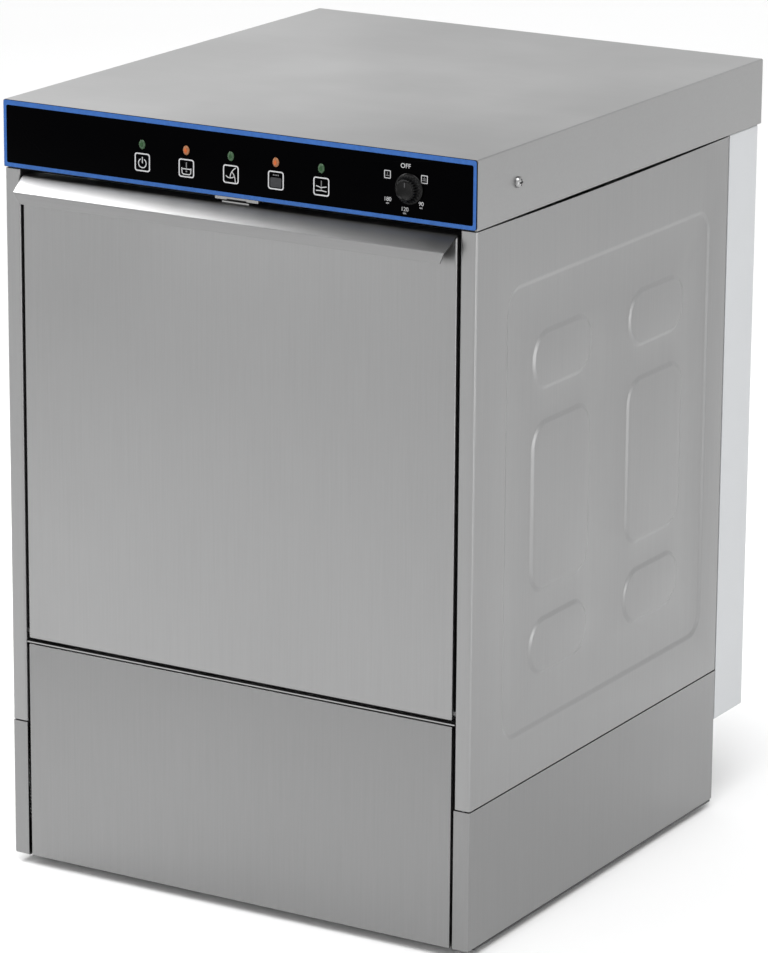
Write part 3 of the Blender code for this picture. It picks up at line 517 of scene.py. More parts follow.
INK_BLUE = printed_ink("ink_blue", (0.034, 0.115, 0.360))
INK_WHITE = printed_ink("ink_white", (0.52, 0.52, 0.53))
INK_GREY = printed_ink("ink_grey", (0.17, 0.17, 0.175))
INK_DARK = printed_ink("ink_dark", (0.040, 0.040, 0.043))
LENS_W, LENS_H = 0.0038, 0.0050


def oval(centre, half_w, half_h, steps=40):
    """The outline of an ellipse."""
    return [(centre[0] + half_w * math.cos(a), centre[1] + half_h * math.sin(a))
            for a in (2 * math.pi * k / steps for k in range(steps))]


holes = [slab(oval(centre, LENS_W + 0.0001, LENS_H + 0.0001), "y", FILM_FRONT - 0.01, FILM_FRONT + 0.01)
         for centre in lamp_centres]
holes.append(cylinder("y", KNOB, 0.0040, FILM_FRONT - 0.01, FILM_FRONT + 0.01))
SHORT = 0.0006
outline = rounded((film_low.x + SHORT, film_low.z), (film_high.x - SHORT, film_high.z), 0.003)
finished("fascia_film", slab(outline, "y", film_high.y, film_low.y, 0.0003), film_black, "chassis",
         "fascia_film", "fascia_overlay", cutters=holes)


def ink_layer(shape, outer, inner=None):
    """Add a patch of ink to a shape, or a band where inner is a hole of as many points."""
    levels = (FILM_FRONT - 0.00001, FILM_FRONT - INK)
    outer_loops = [[shape.verts.new((x, y, z)) for x, z in outer] for y in levels]
    loft(shape, outer_loops)
    if inner is None:
        for loop in outer_loops:
            shape.faces.new(loop)
        return
    inner_loops = [[shape.verts.new((x, y, z)) for x, z in inner] for y in levels]
    loft(shape, inner_loops)
    for one, two in zip(outer_loops, inner_loops):
        loft(shape, (one, two))


def stroke(shape, points, width, closed=False):
    """A drawn line of even width through points."""
    pts = [Vector(p) for p in points]
    left, right_side = [], []
    count = len(pts)
    for i, p in enumerate(pts):
        before = pts[i - 1] if (closed or i) else None
        after = pts[(i + 1) % count] if (closed or i + 1 < count) else None
        tangent = Vector((0, 0))
        if before is not None:
            tangent += (p - before).normalized()
        if after is not None:
            tangent += (after - p).normalized()
        normal = Vector((-tangent.y, tangent.x)).normalized() * width / 2
        left.append(tuple(p + normal))
        right_side.append(tuple(p - normal))
    if closed:
        ink_layer(shape, left, right_side)
    else:
        ink_layer(shape, left + right_side[::-1])


def arc(centre, radius, start, end, steps=24):
    """Points on an arc, angles in degrees."""
    return [(centre[0] + radius * math.cos(a), centre[1] + radius * math.sin(a))
            for a in (math.radians(start + (end - start) * k / steps) for k in range(steps + 1))]


border = bmesh.new()
BORDER_X, BORDER_TOP, BORDER_BOTTOM = 0.0044, 0.0054, 0.0046
outer = rounded((film_low.x + SHORT + 0.0003, film_low.z + 0.0004),
                (film_high.x - SHORT - 0.0003, film_high.z - 0.0004), 0.0027)
inner = rounded((film_low.x + BORDER_X, film_low.z + BORDER_BOTTOM),
                (film_high.x - BORDER_X, film_high.z - BORDER_TOP), 0.0020)
ink_layer(border, outer, inner)
bmesh.ops.recalc_face_normals(border, faces=border.faces)
finished("fascia_border", border, INK_BLUE, "chassis", "fascia_film")

signs = bmesh.new()
SIGN_Z = lamp_centres[0][1] - 0.0187
LINE = 0.0010
faint_signs = bmesh.new()
for x, _ in lamp_centres:
    half_w, half_h = 0.0094, 0.0096
    frame_line = rounded((x - half_w, SIGN_Z - half_h), (x + half_w, SIGN_Z + half_h), 0.0030)
    frame_inner = rounded((x - half_w + 0.0013, SIGN_Z - half_h + 0.0013),
                          (x + half_w - 0.0013, SIGN_Z + half_h - 0.0013), 0.0019)
    ink_layer(signs, frame_line, frame_inner)

power_x, tank_x, wash_x, rinse_x, boiler_x = (x for x, _ in lamp_centres)
stroke(signs, arc((power_x, SIGN_Z - 0.0010), 0.0047, 118, 422, 40), LINE)
stroke(signs, [(power_x, SIGN_Z - 0.0010), (power_x, SIGN_Z + 0.0056)], LINE)

stroke(signs, [(tank_x - 0.0056, SIGN_Z + 0.0004), (tank_x - 0.0052, SIGN_Z - 0.0052),
               (tank_x - 0.0036, SIGN_Z - 0.0064), (tank_x + 0.0036, SIGN_Z - 0.0064),
               (tank_x + 0.0052, SIGN_Z - 0.0052), (tank_x + 0.0056, SIGN_Z + 0.0004)], LINE)
stroke(signs, [(tank_x - 0.0054, SIGN_Z - 0.0008), (tank_x + 0.0054, SIGN_Z - 0.0008)], LINE)
stroke(faint_signs, [(tank_x, SIGN_Z + 0.0002), (tank_x, SIGN_Z + 0.0062)], LINE * 1.2)
ink_layer(faint_signs, arc((tank_x, SIGN_Z - 0.0032), 0.0010, 0, 345, 12))

for points in ([(6.0, 7.2), (4.0, 5.8), (2.3, 4.3), (1.0, 2.7), (0.1, 1.0), (-0.6, -1.0), (-1.0, -3.1)],
               [(-6.0, -1.7), (-5.0, -2.6), (-3.8, -3.4), (-1.0, -3.9), (1.8, -3.3), (4.4, -1.8)],
               [(1.6, 2.4), (2.8, 0.9), (3.8, -0.6), (4.9, -3.9), (5.4, -8.2)]):
    stroke(signs, [(wash_x + x / 1000, SIGN_Z + z / 1000) for x, z in points], LINE * 0.85)

for i in range(4):
    ink_layer(faint_signs, arc((rinse_x + (i - 1.5) * 0.0019, SIGN_Z + 0.0054), 0.0007, 0, 345, 10))

for rise, points in ((0.0, [(-6.2, 0.4), (-3.2, -0.2), (0.0, -1.2), (2.4, -0.4), (6.2, 0.2)]),
                     (-0.0046, [(-6.2, 0.2), (0.0, 0.5), (6.2, -0.2)])):
    stroke(signs, [(boiler_x + x / 1000, SIGN_Z + rise + z / 1000) for x, z in points], LINE * 0.9)
stroke(faint_signs, [(boiler_x, SIGN_Z - 0.0004), (boiler_x, SIGN_Z + 0.0060)], LINE)
ink_layer(faint_signs, arc((boiler_x, SIGN_Z - 0.0024), 0.0009, 0, 345, 12))

DIAL = (0.2030, 0.8080)
for mark, dots in (((DIAL[0] - 0.0210, DIAL[1] + 0.0118), (0.0,)),
                   ((DIAL[0] + 0.0216, DIAL[1] + 0.0113), (-0.0012, 0.0012))):
    outer = rounded((mark[0] - 0.0038, mark[1] - 0.0042), (mark[0] + 0.0038, mark[1] + 0.0042), 0.0008)
    inner = rounded((mark[0] - 0.0030, mark[1] - 0.0034), (mark[0] + 0.0030, mark[1] + 0.0034), 0.0003)
    ink_layer(signs, outer, inner)
    stroke(faint_signs, [(mark[0] - 0.0024, mark[1] - 0.0012), (mark[0] + 0.0024, mark[1] - 0.0012)], 0.0007)
    stroke(faint_signs, [(mark[0], mark[1] - 0.0010), (mark[0], mark[1] + 0.0026)], 0.0006)
    for shift in dots:
        ink_layer(faint_signs, arc((mark[0] + shift, mark[1] + 0.0006), 0.0006, 0, 330, 10))
for name, layer, ink in (("fascia_signs", signs, INK_WHITE), ("fascia_signs_faint", faint_signs, INK_GREY)):
    bmesh.ops.recalc_face_normals(layer, faces=layer.faces)
    finished(name, layer, ink, "chassis", "fascia_film")

tank_fill = bmesh.new()
ink_layer(tank_fill, rounded((rinse_x - 0.0066, SIGN_Z - 0.0072),
                             (rinse_x + 0.0066, SIGN_Z + 0.0028), 0.0016))
finished("fascia_sign_fill", tank_fill, INK_DARK, "chassis", "fascia_film")


def lettering(name, words, centre, height):
    """Flat letters of ink, centred on a point of the strip."""
    curve = bpy.data.curves.new(name, "FONT")
    curve.body = words
    curve.size = height
    curve.align_x, curve.align_y = "CENTER", "CENTER"
    curve.extrude = INK / 2
    text = bpy.data.objects.new(name, curve)
    scene.collection.objects.link(text)
    mesh = evaluated_mesh(text)
    bpy.data.objects.remove(text)
    letters = bmesh.new()
    letters.from_mesh(mesh)
    bmesh.ops.remove_doubles(letters, verts=letters.verts, dist=1e-6)
    turn = Matrix.Translation((centre[0], FILM_FRONT - INK / 2 - 0.00001, centre[1]))
    bmesh.ops.transform(letters, matrix=turn @ Matrix.Rotation(math.pi / 2, 4, "X"), verts=letters.verts)
    finished(name, letters, INK_WHITE, "chassis", "fascia_film")


lettering("dial_off", "OFF", (DIAL[0], DIAL[1] + 0.0224), 0.0068)
for words, across, down in (("180", -0.0207, 0.0135), ("120", -0.0008, 0.0216), ("90", 0.0181, 0.0141)):
    spot = (DIAL[0] + across, DIAL[1] - down)
    lettering(f"dial_{words}", words, spot, 0.0060)
    lettering(f"dial_{words}_unit", "sec", (spot[0], spot[1] - 0.0038), 0.0030)

# ================================================================ lamps
# Five small domed plastic lenses, green and amber in turn, pushed into the strip. Each has a
# deeper-coloured oval set in the top of its dome: painted dome shading, a deep centre inside a lighter lens.


def lens_plastic(name, deep, rim, glow):
    """Tinted translucent plastic, slightly cloudy."""
    material, tree, shader = principled(name, deep, 0.12, Specular_IOR_Level=0.35)
    tree.links.new(blended(tree, ranged(tree, mottled(tree, 500), 0, 1), deep, rim),
                   shader.inputs["Base Color"])
    shader.inputs["Emission Color"].default_value = (*deep, 1)
    shader.inputs["Emission Strength"].default_value = glow
    return material


LENS = {"green": lens_plastic("lens_green", (0.022, 0.058, 0.024), (0.046, 0.098, 0.048), 0.04),
        "amber": lens_plastic("lens_amber", (0.24, 0.088, 0.034), (0.31, 0.135, 0.058), 0.04)}
PAINTED_CENTRE = {"green": lens_plastic("core_green", (0.006, 0.045, 0.008), (0.016, 0.070, 0.018), 0.05),
        "amber": lens_plastic("core_amber", (0.40, 0.070, 0.010), (0.48, 0.110, 0.020), 0.10)}
LENS_RISE, PAINTED_CENTRE_SHIFT, PAINTED_CENTRE_PROUD, PAINTED_CENTRE_DEPTH = 0.0022, 0.0004, 0.0002, 0.0010
for i, (name, (low, high)) in enumerate(zip(lamp_names, lamp_boxes)):
    bulge = [(math.cos(a), FILM_FRONT - LENS_RISE * math.sin(a))
             for a in (math.pi / 2 * k / 8 for k in range(8))]
    rings = [(0.74, high.y), (0.74, FILM_FRONT + 0.0058), (1.0, FILM_FRONT + 0.0056), (1.0, FILM_FRONT)]
    rings += [(r, y) for r, y in bulge[1:]]
    lens = bmesh.new()
    loops = [[lens.verts.new((x, y, z)) for x, z in oval(lamp_centres[i], LENS_W * r, LENS_H * r)]
             for r, y in rings]
    skinned(lens, loops)
    colour = ("green", "amber")[i % 2]
    finished(f"lens_{name}", lens, LENS[colour], "chassis", f"{colour}_lens", f"lamp_{name}")
    # Painted dome shading: a deeper-coloured oval just inside the lens's front, darker than the lens round
    # it.
    painted_centre_outline = oval((lamp_centres[i][0] + PAINTED_CENTRE_SHIFT, lamp_centres[i][1]), LENS_W * 0.42, LENS_H * 0.50)
    painted_centre_front = FILM_FRONT - LENS_RISE - PAINTED_CENTRE_PROUD
    finished(f"lens_core_{name}", slab(painted_centre_outline, "y", painted_centre_front, painted_centre_front + PAINTED_CENTRE_DEPTH, 0.0003),
             PAINTED_CENTRE[colour], "chassis", f"{colour}_lens")

# ================================================================ knob
# Moulded black knob: round skirt, fluted grip, sunken cap with a raised pointer rib. Its stem goes
# through the plate to the selector switch.


def moulded_plastic(name, colour, roughness=0.42, grain=0.00004, shine=0.5):
    """Moulded plastic with a fine spark-eroded texture."""
    material, tree, shader = principled(name, colour, roughness, Specular_IOR_Level=shine)
    wear = mottled(tree, 40)
    tree.links.new(ranged(tree, wear, roughness - 0.07, roughness + 0.08), shader.inputs["Roughness"])
    tree.links.new(blended(tree, ranged(tree, wear, 0, 1), [c * 0.85 for c in colour],
                           [min(1, c * 1.2) for c in colour]), shader.inputs["Base Color"])
    relief(tree, shader, mottled(tree, 1400), grain, 0.5)
    return material


PLASTIC_BLACK = moulded_plastic("plastic_black", (0.016, 0.016, 0.017))
PLASTIC_GREY = moulded_plastic("plastic_grey", (0.22, 0.23, 0.24))

knob = bmesh.new()
KNOB_SIDES, FLUTES = 192, 24
FACE = knob_low.y
knob_rings = [(0.0030, knob_high.y, 0), (0.0030, FILM_FRONT - 0.0006, 0), (0.0157, FILM_FRONT - 0.0006, 0),
              (0.0160, FILM_FRONT - 0.0010, 0), (0.0160, FILM_FRONT - 0.0018, 0),
              (0.0157, FILM_FRONT - 0.0024, 0), (0.0150, FILM_FRONT - 0.0028, 0),
              (0.0143, FILM_FRONT - 0.0032, 0.0003), (0.0137, FILM_FRONT - 0.0042, 0.0008),
              (0.0117, FACE + 0.0026, 0.0008), (0.0109, FACE + 0.0010, 0.0004),
              (0.0101, FACE + 0.0002, 0.0001), (0.0095, FACE, 0), (0.0090, FACE + 0.0003, 0),
              (0.0088, FACE + 0.0009, 0), (0.0084, FACE + 0.0011, 0)]
loops = []
for radius, y, flute in knob_rings:
    loops.append([])
    for k in range(KNOB_SIDES):
        angle = 2 * math.pi * k / KNOB_SIDES
        r = radius - flute * (1 + math.cos(angle * FLUTES)) ** 2 / 2
        loops[-1].append(knob.verts.new((KNOB[0] + r * math.cos(angle), y, KNOB[1] + r * math.sin(angle))))
skinned(knob, loops)
PLASTIC_KNOB = moulded_plastic("plastic_knob", (0.002, 0.002, 0.002), 0.25, shine=0.16)
finished("selector_knob", knob, PLASTIC_KNOB, "knob", "black_plastic", "program_knob", crease=50)
pointer = rounded((KNOB[0] - 0.0006, KNOB[1] + 0.0030), (KNOB[0] + 0.0006, KNOB[1] + 0.0080), 0.0005, 4)
finished("knob_pointer", slab(pointer, "y", FACE + 0.0013, FACE + 0.0005, 0.0002),
         moulded_plastic("plastic_dark_grey", (0.045, 0.045, 0.047)), "knob", "black_plastic")

# ================================================================ side panels
# Each side is one sheet: the post at its front is folded round the corner and back, the flat side
# carries a pressed field with six raised shapes, and the rear edge is folded in.

side_low, side_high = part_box("side_panel_right")
base_low, base_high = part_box("base_chassis")
FRONT_Y, SIDE_X, POST_X = side_low.y, side_high.x, side_low.x
FIELD_Y = (FRONT_Y + 0.0637, FRONT_Y + 0.5147)
FIELD_Z = (0.2165, 0.7020)
PRESS_DEPTH = 0.0020
SEAM, BOW = 0.0013, 0.0022


def pressed_wall(shape, outline_of, top, bottom, width, steps=7):
    """Loops down a pressed step: outline_of(inset) gives its outline, smooth from top to bottom."""
    loops = []
    for k in range(steps + 1):
        t = k / steps
        x = top + (bottom - top) * t * t * (3 - 2 * t)
        loops.append([shape.verts.new((x, y, z)) for y, z in outline_of(width * t)])
    loft(shape, loops)
    return loops


def filled(shape, *loops):
    """Triangles over a flat region with an outer loop and any holes."""
    edges = []
    for loop in loops:
        for one, two in zip(loop, loop[1:] + loop[:1]):
            edges.append(shape.edges.get((one, two)) or shape.edges.new((one, two)))
    bmesh.ops.triangle_fill(shape, edges=edges, use_beauty=True)


def inset_outline(low, high, radius):
    """A function of an inset that gives the rounded rectangle drawn in by it."""
    return lambda inset: rounded([c + inset for c in low], [c - inset for c in high], radius - inset, 12)


def side_sheet():
    """The right side's outer skin: field, raised shapes, folded post, and a top edge that bows down."""
    shape = bmesh.new()
    field = inset_outline((FIELD_Y[0], FIELD_Z[0]), (FIELD_Y[1], FIELD_Z[1]), 0.028)
    field_loops = pressed_wall(shape, field, SIDE_X, SIDE_X - PRESS_DEPTH, 0.007)
    feet = []
    for column in (FRONT_Y + 0.1207, FRONT_Y + 0.3287):
        for bottom, top, radius in ((0.270, 0.335, 0.032), (0.360, 0.548, 0.030), (0.578, 0.644, 0.032)):
            outline = inset_outline((column, bottom), (column + 0.129, top), radius)
            raised = pressed_wall(shape, outline, SIDE_X - PRESS_DEPTH, SIDE_X, 0.0065)
            shape.faces.new(raised[-1])
            feet.append(raised[0])
    filled(shape, field_loops[-1], *feet)
    chain = softened([(POST_X, FRONT_Y + 0.032), (POST_X, FRONT_Y), (SIDE_X, FRONT_Y),
                      (SIDE_X, side_high.y), (SIDE_X - 0.015, side_high.y)], 0.0034, 6)
    flat = max(range(len(chain) - 1), key=lambda i: (Vector(chain[i + 1]) - Vector(chain[i])).length)
    span = [Vector(chain[flat]).lerp(Vector(chain[flat + 1]), k / 12) for k in range(1, 12)]
    levels = [[shape.verts.new((x, y, z)) for x, y in chain] for z in (side_low.z + SEAM, side_high.z - SEAM)]
    for i in range(len(chain) - 1):
        if i != flat:
            shape.faces.new((levels[0][i], levels[0][i + 1], levels[1][i + 1], levels[1][i]))
    bow = [shape.verts.new((p.x, p.y, side_high.z - SEAM - BOW * math.sin(math.pi * (k + 1) / 12)))
           for k, p in enumerate(span)]
    filled(shape, [levels[0][flat + 1], levels[0][flat], levels[1][flat]] + bow + [levels[1][flat + 1]],
           field_loops[0])
    bmesh.ops.recalc_face_normals(shape, faces=shape.faces)
    widest = max(shape.faces, key=lambda face: abs(face.normal.x) * face.calc_area())
    if widest.normal.x < 0:
        bmesh.ops.reverse_faces(shape, faces=shape.faces)
    return shape


def mirrored(shape):
    """The other-handed copy of a shape, across the plane x = 0."""
    twin = shape.copy()
    bmesh.ops.transform(twin, matrix=Matrix.Scale(-1, 4, (1, 0, 0)), verts=twin.verts)
    bmesh.ops.reverse_faces(twin, faces=twin.faces)
    return twin


HINGE_Y, HINGE_Z = FRONT_Y + 0.0077, 0.2645
right_side = side_sheet()
for side, sign, shape in (("left", -1, mirrored(right_side)), ("right", 1, right_side)):
    notch_x = sorted((sign * (POST_X - 0.004), sign * (POST_X + 0.006)))
    notch = box_shape((notch_x[0], FRONT_Y + 0.0028, HINGE_Z - 0.012),
                      (notch_x[1], FRONT_Y + 0.022, HINGE_Z + 0.012))
    finished(f"side_{side}", shape, STEEL_UPRIGHT, "chassis", "brushed_steel", f"side_panel_{side}",
             wall=SHEET, cutters=[notch])

# ================================================================ base
# A deep folded tray carries everything. Its front is open between the two corner posts for the
# lower panel, and its rear wall has holes for water, drain and cable.

posts = box_shape((-POST_X, base_low.y - 0.01, 0), (POST_X, base_low.y + 0.018, base_high.z + 0.01))
outlets = []
for node, radius in (("drain_elbow", 0.0170), ("inlet_valve", 0.0130), ("cable_gland", 0.0090)):
    low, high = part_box(node)
    z = {"drain_elbow": 0.055}.get(node, 0.062)
    outlets.append(cylinder("y", ((low.x + high.x) / 2, z), radius, base_high.y - 0.02, base_high.y + 0.01))
# The tray's steel carries painted shade: the darker lower-sheet tone.
finished("base_tray", bevelled_pan(base_low, base_high, ("+z",), 0.0022), STEEL_LOWER_SHADED, "chassis",
         "brushed_steel", "base_chassis", wall=0.0015, cutters=[posts] + outlets)
# Painted shadow: a thin black strip just under each side of the tray draws the dark line where the base meets
# the floor.
for side, sign in (("left", -1), ("right", 1)):
    ends = sorted((sign * (base_high.x - 0.0015), sign * (base_high.x - 0.0300)))
    strip = bevelled_pan((ends[0], base_low.y + 0.016, base_low.z - 0.0030),
                         (ends[1], base_high.y - 0.002, base_low.z - 0.0001), (), 0.0006, 2)
    finished(f"base_strip_{side}", strip, PLASTIC_BLACK, "chassis", "black_plastic")

# ================================================================ lower front panel and rail
# A shallow folded pan of stainless sheet closes the front below the door. A thin folded rail above
# it fills the gap under the door.

low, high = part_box("lower_front_panel")
# The lower front's steel carries painted shade: the darker lower-sheet tone.
finished("lower_front", bevelled_pan(low, high, ("+y",), 0.0009), STEEL_LOWER_SHADED, "chassis",
         "brushed_steel", "lower_front_panel", wall=SHEET)


def folded(chain, thickness, axis, start, end, radius=0.0015, half_length=None):
    """A sheet folded along a chain of points: the chain is its outer side, the metal lies to its left."""
    points = [Vector(p) for p in softened(chain, radius, 5)]
    inner = []
    for i, point in enumerate(points):
        before = (point - points[i - 1]).normalized() if i else None
        after = (points[i + 1] - point).normalized() if i + 1 < len(points) else None
        normals = [Vector((-d.y, d.x)) for d in (before, after) if d is not None]
        mitre = sum(normals, Vector((0, 0))).normalized()
        inner.append(point + mitre * thickness / mitre.dot(normals[0]))
    outline = points + inner[::-1]
    shape = bmesh.new()
    rings = []
    for along in (start, end):
        ring = []
        for point in outline:
            reach = along if half_length is None else math.copysign(half_length(point), along)
            ring.append(shape.verts.new(at(axis, reach, point.x, point.y)))
        rings.append(ring)
    loft(shape, rings)
    count = len(points)
    for ring in rings:
        for i in range(count - 1):
            j = 2 * count - 1 - i
            shape.faces.new((ring[i], ring[i + 1], ring[j - 1], ring[j]))
    bmesh.ops.recalc_face_normals(shape, faces=shape.faces)
    return shape


low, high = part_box("front_rail")
chain = [(high.y, low.z), (high.y, high.z), (low.y, high.z)]
finished("rail", folded(chain, 0.0014, "x", low.x, high.x), STEEL_ACROSS, "chassis", "brushed_steel",
         "front_rail")

# ================================================================ rear
# A white-coated box covers the pipes behind the machine, held by screws round its edge and pressed
# with rows of louvres. A plain sheet closes the body in front of it.


def powder_coat(name, colour, roughness=0.40):
    """Powder coat with orange peel."""
    material, tree, shader = principled(name, colour, roughness, Specular_IOR_Level=0.5)
    dusty = [c * 0.965 for c in colour]
    tree.links.new(blended(tree, ranged(tree, mottled(tree, 7, 4), 0, 1), dusty, colour),
                   shader.inputs["Base Color"])
    relief(tree, shader, mottled(tree, 420), 0.00005, 0.35)
    return material


PAINT_WHITE = powder_coat("paint_white", (0.485, 0.497, 0.510))
PAINT_MOTOR = powder_coat("paint_motor", (0.05, 0.06, 0.075), 0.45)
cover_low, cover_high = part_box("rear_cover")
finished("rear_box", bevelled_pan(cover_low, cover_high, ("-y",), 0.0025), PAINT_WHITE, "chassis",
         "white_sheet", "rear_cover", wall=0.0010)
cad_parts["rear_panel"].data.materials.clear()
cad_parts["rear_panel"].data.materials.append(STEEL_DULL)


def scatter_tree():
    """Geometry Nodes: a copy of one part on each point, made real and given its material."""
    tree = bpy.data.node_groups.new("set_out", "GeometryNodeTree")
    face = tree.interface
    face.new_socket("Points", in_out="INPUT", socket_type="NodeSocketGeometry")
    face.new_socket("Part", in_out="INPUT", socket_type="NodeSocketObject")
    face.new_socket("Scale", in_out="INPUT", socket_type="NodeSocketFloat").default_value = 1.0
    face.new_socket("Finish", in_out="INPUT", socket_type="NodeSocketMaterial")
    face.new_socket("Geometry", in_out="OUTPUT", socket_type="NodeSocketGeometry")
    nodes, links = tree.nodes, tree.links
    given, result = nodes.new("NodeGroupInput"), nodes.new("NodeGroupOutput")
    part = nodes.new("GeometryNodeObjectInfo")
    part.inputs["As Instance"].default_value = True
    set_out = nodes.new("GeometryNodeInstanceOnPoints")
    real = nodes.new("GeometryNodeRealizeInstances")
    finish = nodes.new("GeometryNodeSetMaterial")
    links.new(given.outputs["Part"], part.inputs["Object"])
    links.new(given.outputs["Points"], set_out.inputs["Points"])
    links.new(part.outputs["Geometry"], set_out.inputs["Instance"])
    links.new(given.outputs["Scale"], set_out.inputs["Scale"])
    links.new(set_out.outputs["Instances"], real.inputs["Geometry"])
    links.new(real.outputs["Geometry"], finish.inputs["Geometry"])
    links.new(given.outputs["Finish"], finish.inputs["Material"])
    links.new(finish.outputs["Geometry"], result.inputs["Geometry"])
    return tree


SET_OUT = scatter_tree()


def grown(name, base, tree, body, slot, settings, *nodes, crease=32):
    """Run a Geometry Nodes tree on a base object, keep its result as a plain mesh, hang it on its body."""
    modifier = base.modifiers.new("grow", "NODES")
    modifier.node_group = tree
    for item in tree.interface.items_tree:
        if item.in_out == "INPUT" and item.name in settings:
            modifier[item.identifier] = settings[item.name]
    mesh = evaluated_mesh(base)
    base.modifiers.clear()
    obj = bpy.data.objects.new(name, mesh)
    bpy.data.objects.remove(base)
    scene.collection.objects.link(obj)
    mesh.shade_smooth()
    mesh.set_sharp_from_angle(angle=math.radians(crease))
    if body:
        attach(obj, body)
    if nodes:
        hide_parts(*nodes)
    return obj


def set_out(name, part_shape, points, material, body, slot, cutters=()):
    """Copies of a small part, modelled at the origin, on a list of points."""
    part_mesh = bpy.data.meshes.new(f"{name}_part")
    part_shape.to_mesh(part_mesh)
    part_shape.free()
    part = bpy.data.objects.new(part_mesh.name, part_mesh)
    scene.collection.objects.link(part)
    guides = drilled(part, cutters)
    if guides:
        part.data = evaluated_mesh(part)
        part.modifiers.clear()
    for guide in guides:
        bpy.data.objects.remove(guide)
    points_mesh = bpy.data.meshes.new(f"{name}_points")
    points_mesh.from_pydata([tuple(p) for p in points], [], [])
    base = bpy.data.objects.new(points_mesh.name, points_mesh)
    scene.collection.objects.link(base)
    obj = grown(name, base, SET_OUT, body, slot, {"Part": part, "Finish": material, "Scale": 1.0})
    bpy.data.objects.remove(part)
    return obj


def faced(shape, axis):
    """Make an open sheet's normals agree, and point along the axis on the whole."""
    bmesh.ops.recalc_face_normals(shape, faces=shape.faces)
    if sum(face.normal["xyz".index(axis)] * face.calc_area() for face in shape.faces) < 0:
        bmesh.ops.reverse_faces(shape, faces=shape.faces)


screw, recesses = pan_head_screw("y", (0, 0), 0, 1, 0.0042, 0.0026, 0.004)
rear_y = cover_high.y
edge = 0.012
spots = [(x, rear_y, z) for z in (cover_low.z + edge, (cover_low.z + cover_high.z) / 2, cover_high.z - edge)
         for x in (cover_low.x + edge, 0, cover_high.x - edge)
         if not (x == 0 and z == (cover_low.z + cover_high.z) / 2)]
set_out("rear_screws", screw, spots, STEEL_SCREW, "chassis", "plain_steel", recesses)

louvre = bmesh.new()
LOUVRE_HALF, LOUVRE_RISE, LOUVRE_DROP = 0.030, 0.0045, 0.009
loops = []
for k in range(9):
    t = k / 8
    z = -LOUVRE_DROP * t
    rise = LOUVRE_RISE * math.sin(math.pi / 2 * t) + 0.00005
    loops.append([])
    for m in range(17):
        s = -1 + 2 * m / 16
        loops[-1].append(louvre.verts.new((s * LOUVRE_HALF, rise * max(0.0, 1 - s ** 6) ** 0.5, z)))
loft(louvre, loops, closed=False)
faced(louvre, "y")
bmesh.ops.solidify(louvre, geom=louvre.faces[:], thickness=0.0007)
LOUVRE_TOP, ROW_PITCH, COLUMN_PITCH = 0.70, 0.018, 0.076
spots = [(x * COLUMN_PITCH, rear_y - 0.0002, LOUVRE_TOP - ROW_PITCH * k)
         for k in range(6) for x in (-1.5, -0.5, 0.5, 1.5)]
set_out("rear_louvres", louvre, spots, PAINT_WHITE, "chassis", "white_sheet")
# Painted shade: a thin black box under each louvre darkens its slot, for the shade inside the box; the white
# sheet itself is not cut.
slot_shade_shape = box_shape((-0.026, -0.0002, -LOUVRE_DROP - 0.0006), (0.026, 0.0003, -LOUVRE_DROP + 0.0022))
set_out("rear_louvre_slots", slot_shade_shape, spots, moulded_plastic("slot_dark", (0.01, 0.01, 0.01), 0.8),
        "chassis", "black_plastic")

# ================================================================ wash chamber
# Welded stainless box with rounded corners, open to the front and down into the tank, with a flat
# mouth flange and L-shaped rails for the rack.

STEEL_INSIDE = brushed_steel("steel_inside", "z", 0.66, 0.33)
STEEL_FLAT = brushed_steel("steel_flat", "y", 0.66, 0.33)
CHAMBER_X, CHAMBER_BACK, CHAMBER_TOP, CHAMBER_FLOOR = 0.258, 0.243, 0.745, 0.262
liner_low, liner_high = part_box("chamber_liner")
MOUTH_Y = liner_low.y
CORNER = 0.012
finished("chamber", bevelled_pan((-CHAMBER_X, MOUTH_Y, CHAMBER_FLOOR), (CHAMBER_X, CHAMBER_BACK, CHAMBER_TOP),
                                 ("-y", "-z"), CORNER, 8), STEEL_INSIDE, "chassis", "brushed_steel",
         "chamber_liner", wall=-SHEET)
top_corners = rounded((-CHAMBER_X, CHAMBER_FLOOR - 0.05), (CHAMBER_X, CHAMBER_TOP), CORNER, 8)[9:27]
opening = [(CHAMBER_X, CHAMBER_FLOOR)] + top_corners + [(-CHAMBER_X, CHAMBER_FLOOR)]
flange = bmesh.new()
outer_path = [(liner_high.x, CHAMBER_FLOOR)] + [
    (math.copysign(liner_high.x, x), liner_high.z if z > CHAMBER_TOP - CORNER * 1.01 else z)
    for x, z in top_corners] + [(liner_low.x, CHAMBER_FLOOR)]
levels = []
for y in (MOUTH_Y, MOUTH_Y + SHEET):
    levels.append([[flange.verts.new((x, y, z)) for x, z in path] for path in (opening, outer_path)])
loft(flange, (levels[0][0], levels[0][1]), closed=False)
loft(flange, (levels[1][0], levels[1][1]), closed=False)
loft(flange, (levels[0][0], levels[1][0]), closed=False)
loft(flange, (levels[0][1], levels[1][1]), closed=False)
for end in (0, -1):
    flange.faces.new((levels[0][0][end], levels[0][1][end], levels[1][1][end], levels[1][0][end]))
bmesh.ops.recalc_face_normals(flange, faces=flange.faces)
finished("chamber_flange", flange, STEEL_UPRIGHT, "chassis", "brushed_steel")

rail_low, rail_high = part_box("rack_rail_right")
chain = [(rail_low.x, rail_low.z), (rail_high.x, rail_low.z), (rail_high.x, rail_high.z)]
right_rail = folded(chain, 0.0015, "y", rail_low.y, rail_high.y, 0.003)
for side, shape in (("left", mirrored(right_rail)), ("right", right_rail)):
    finished(f"rail_{side}", shape, STEEL_FLAT, "chassis", "brushed_steel", f"rack_rail_{side}")

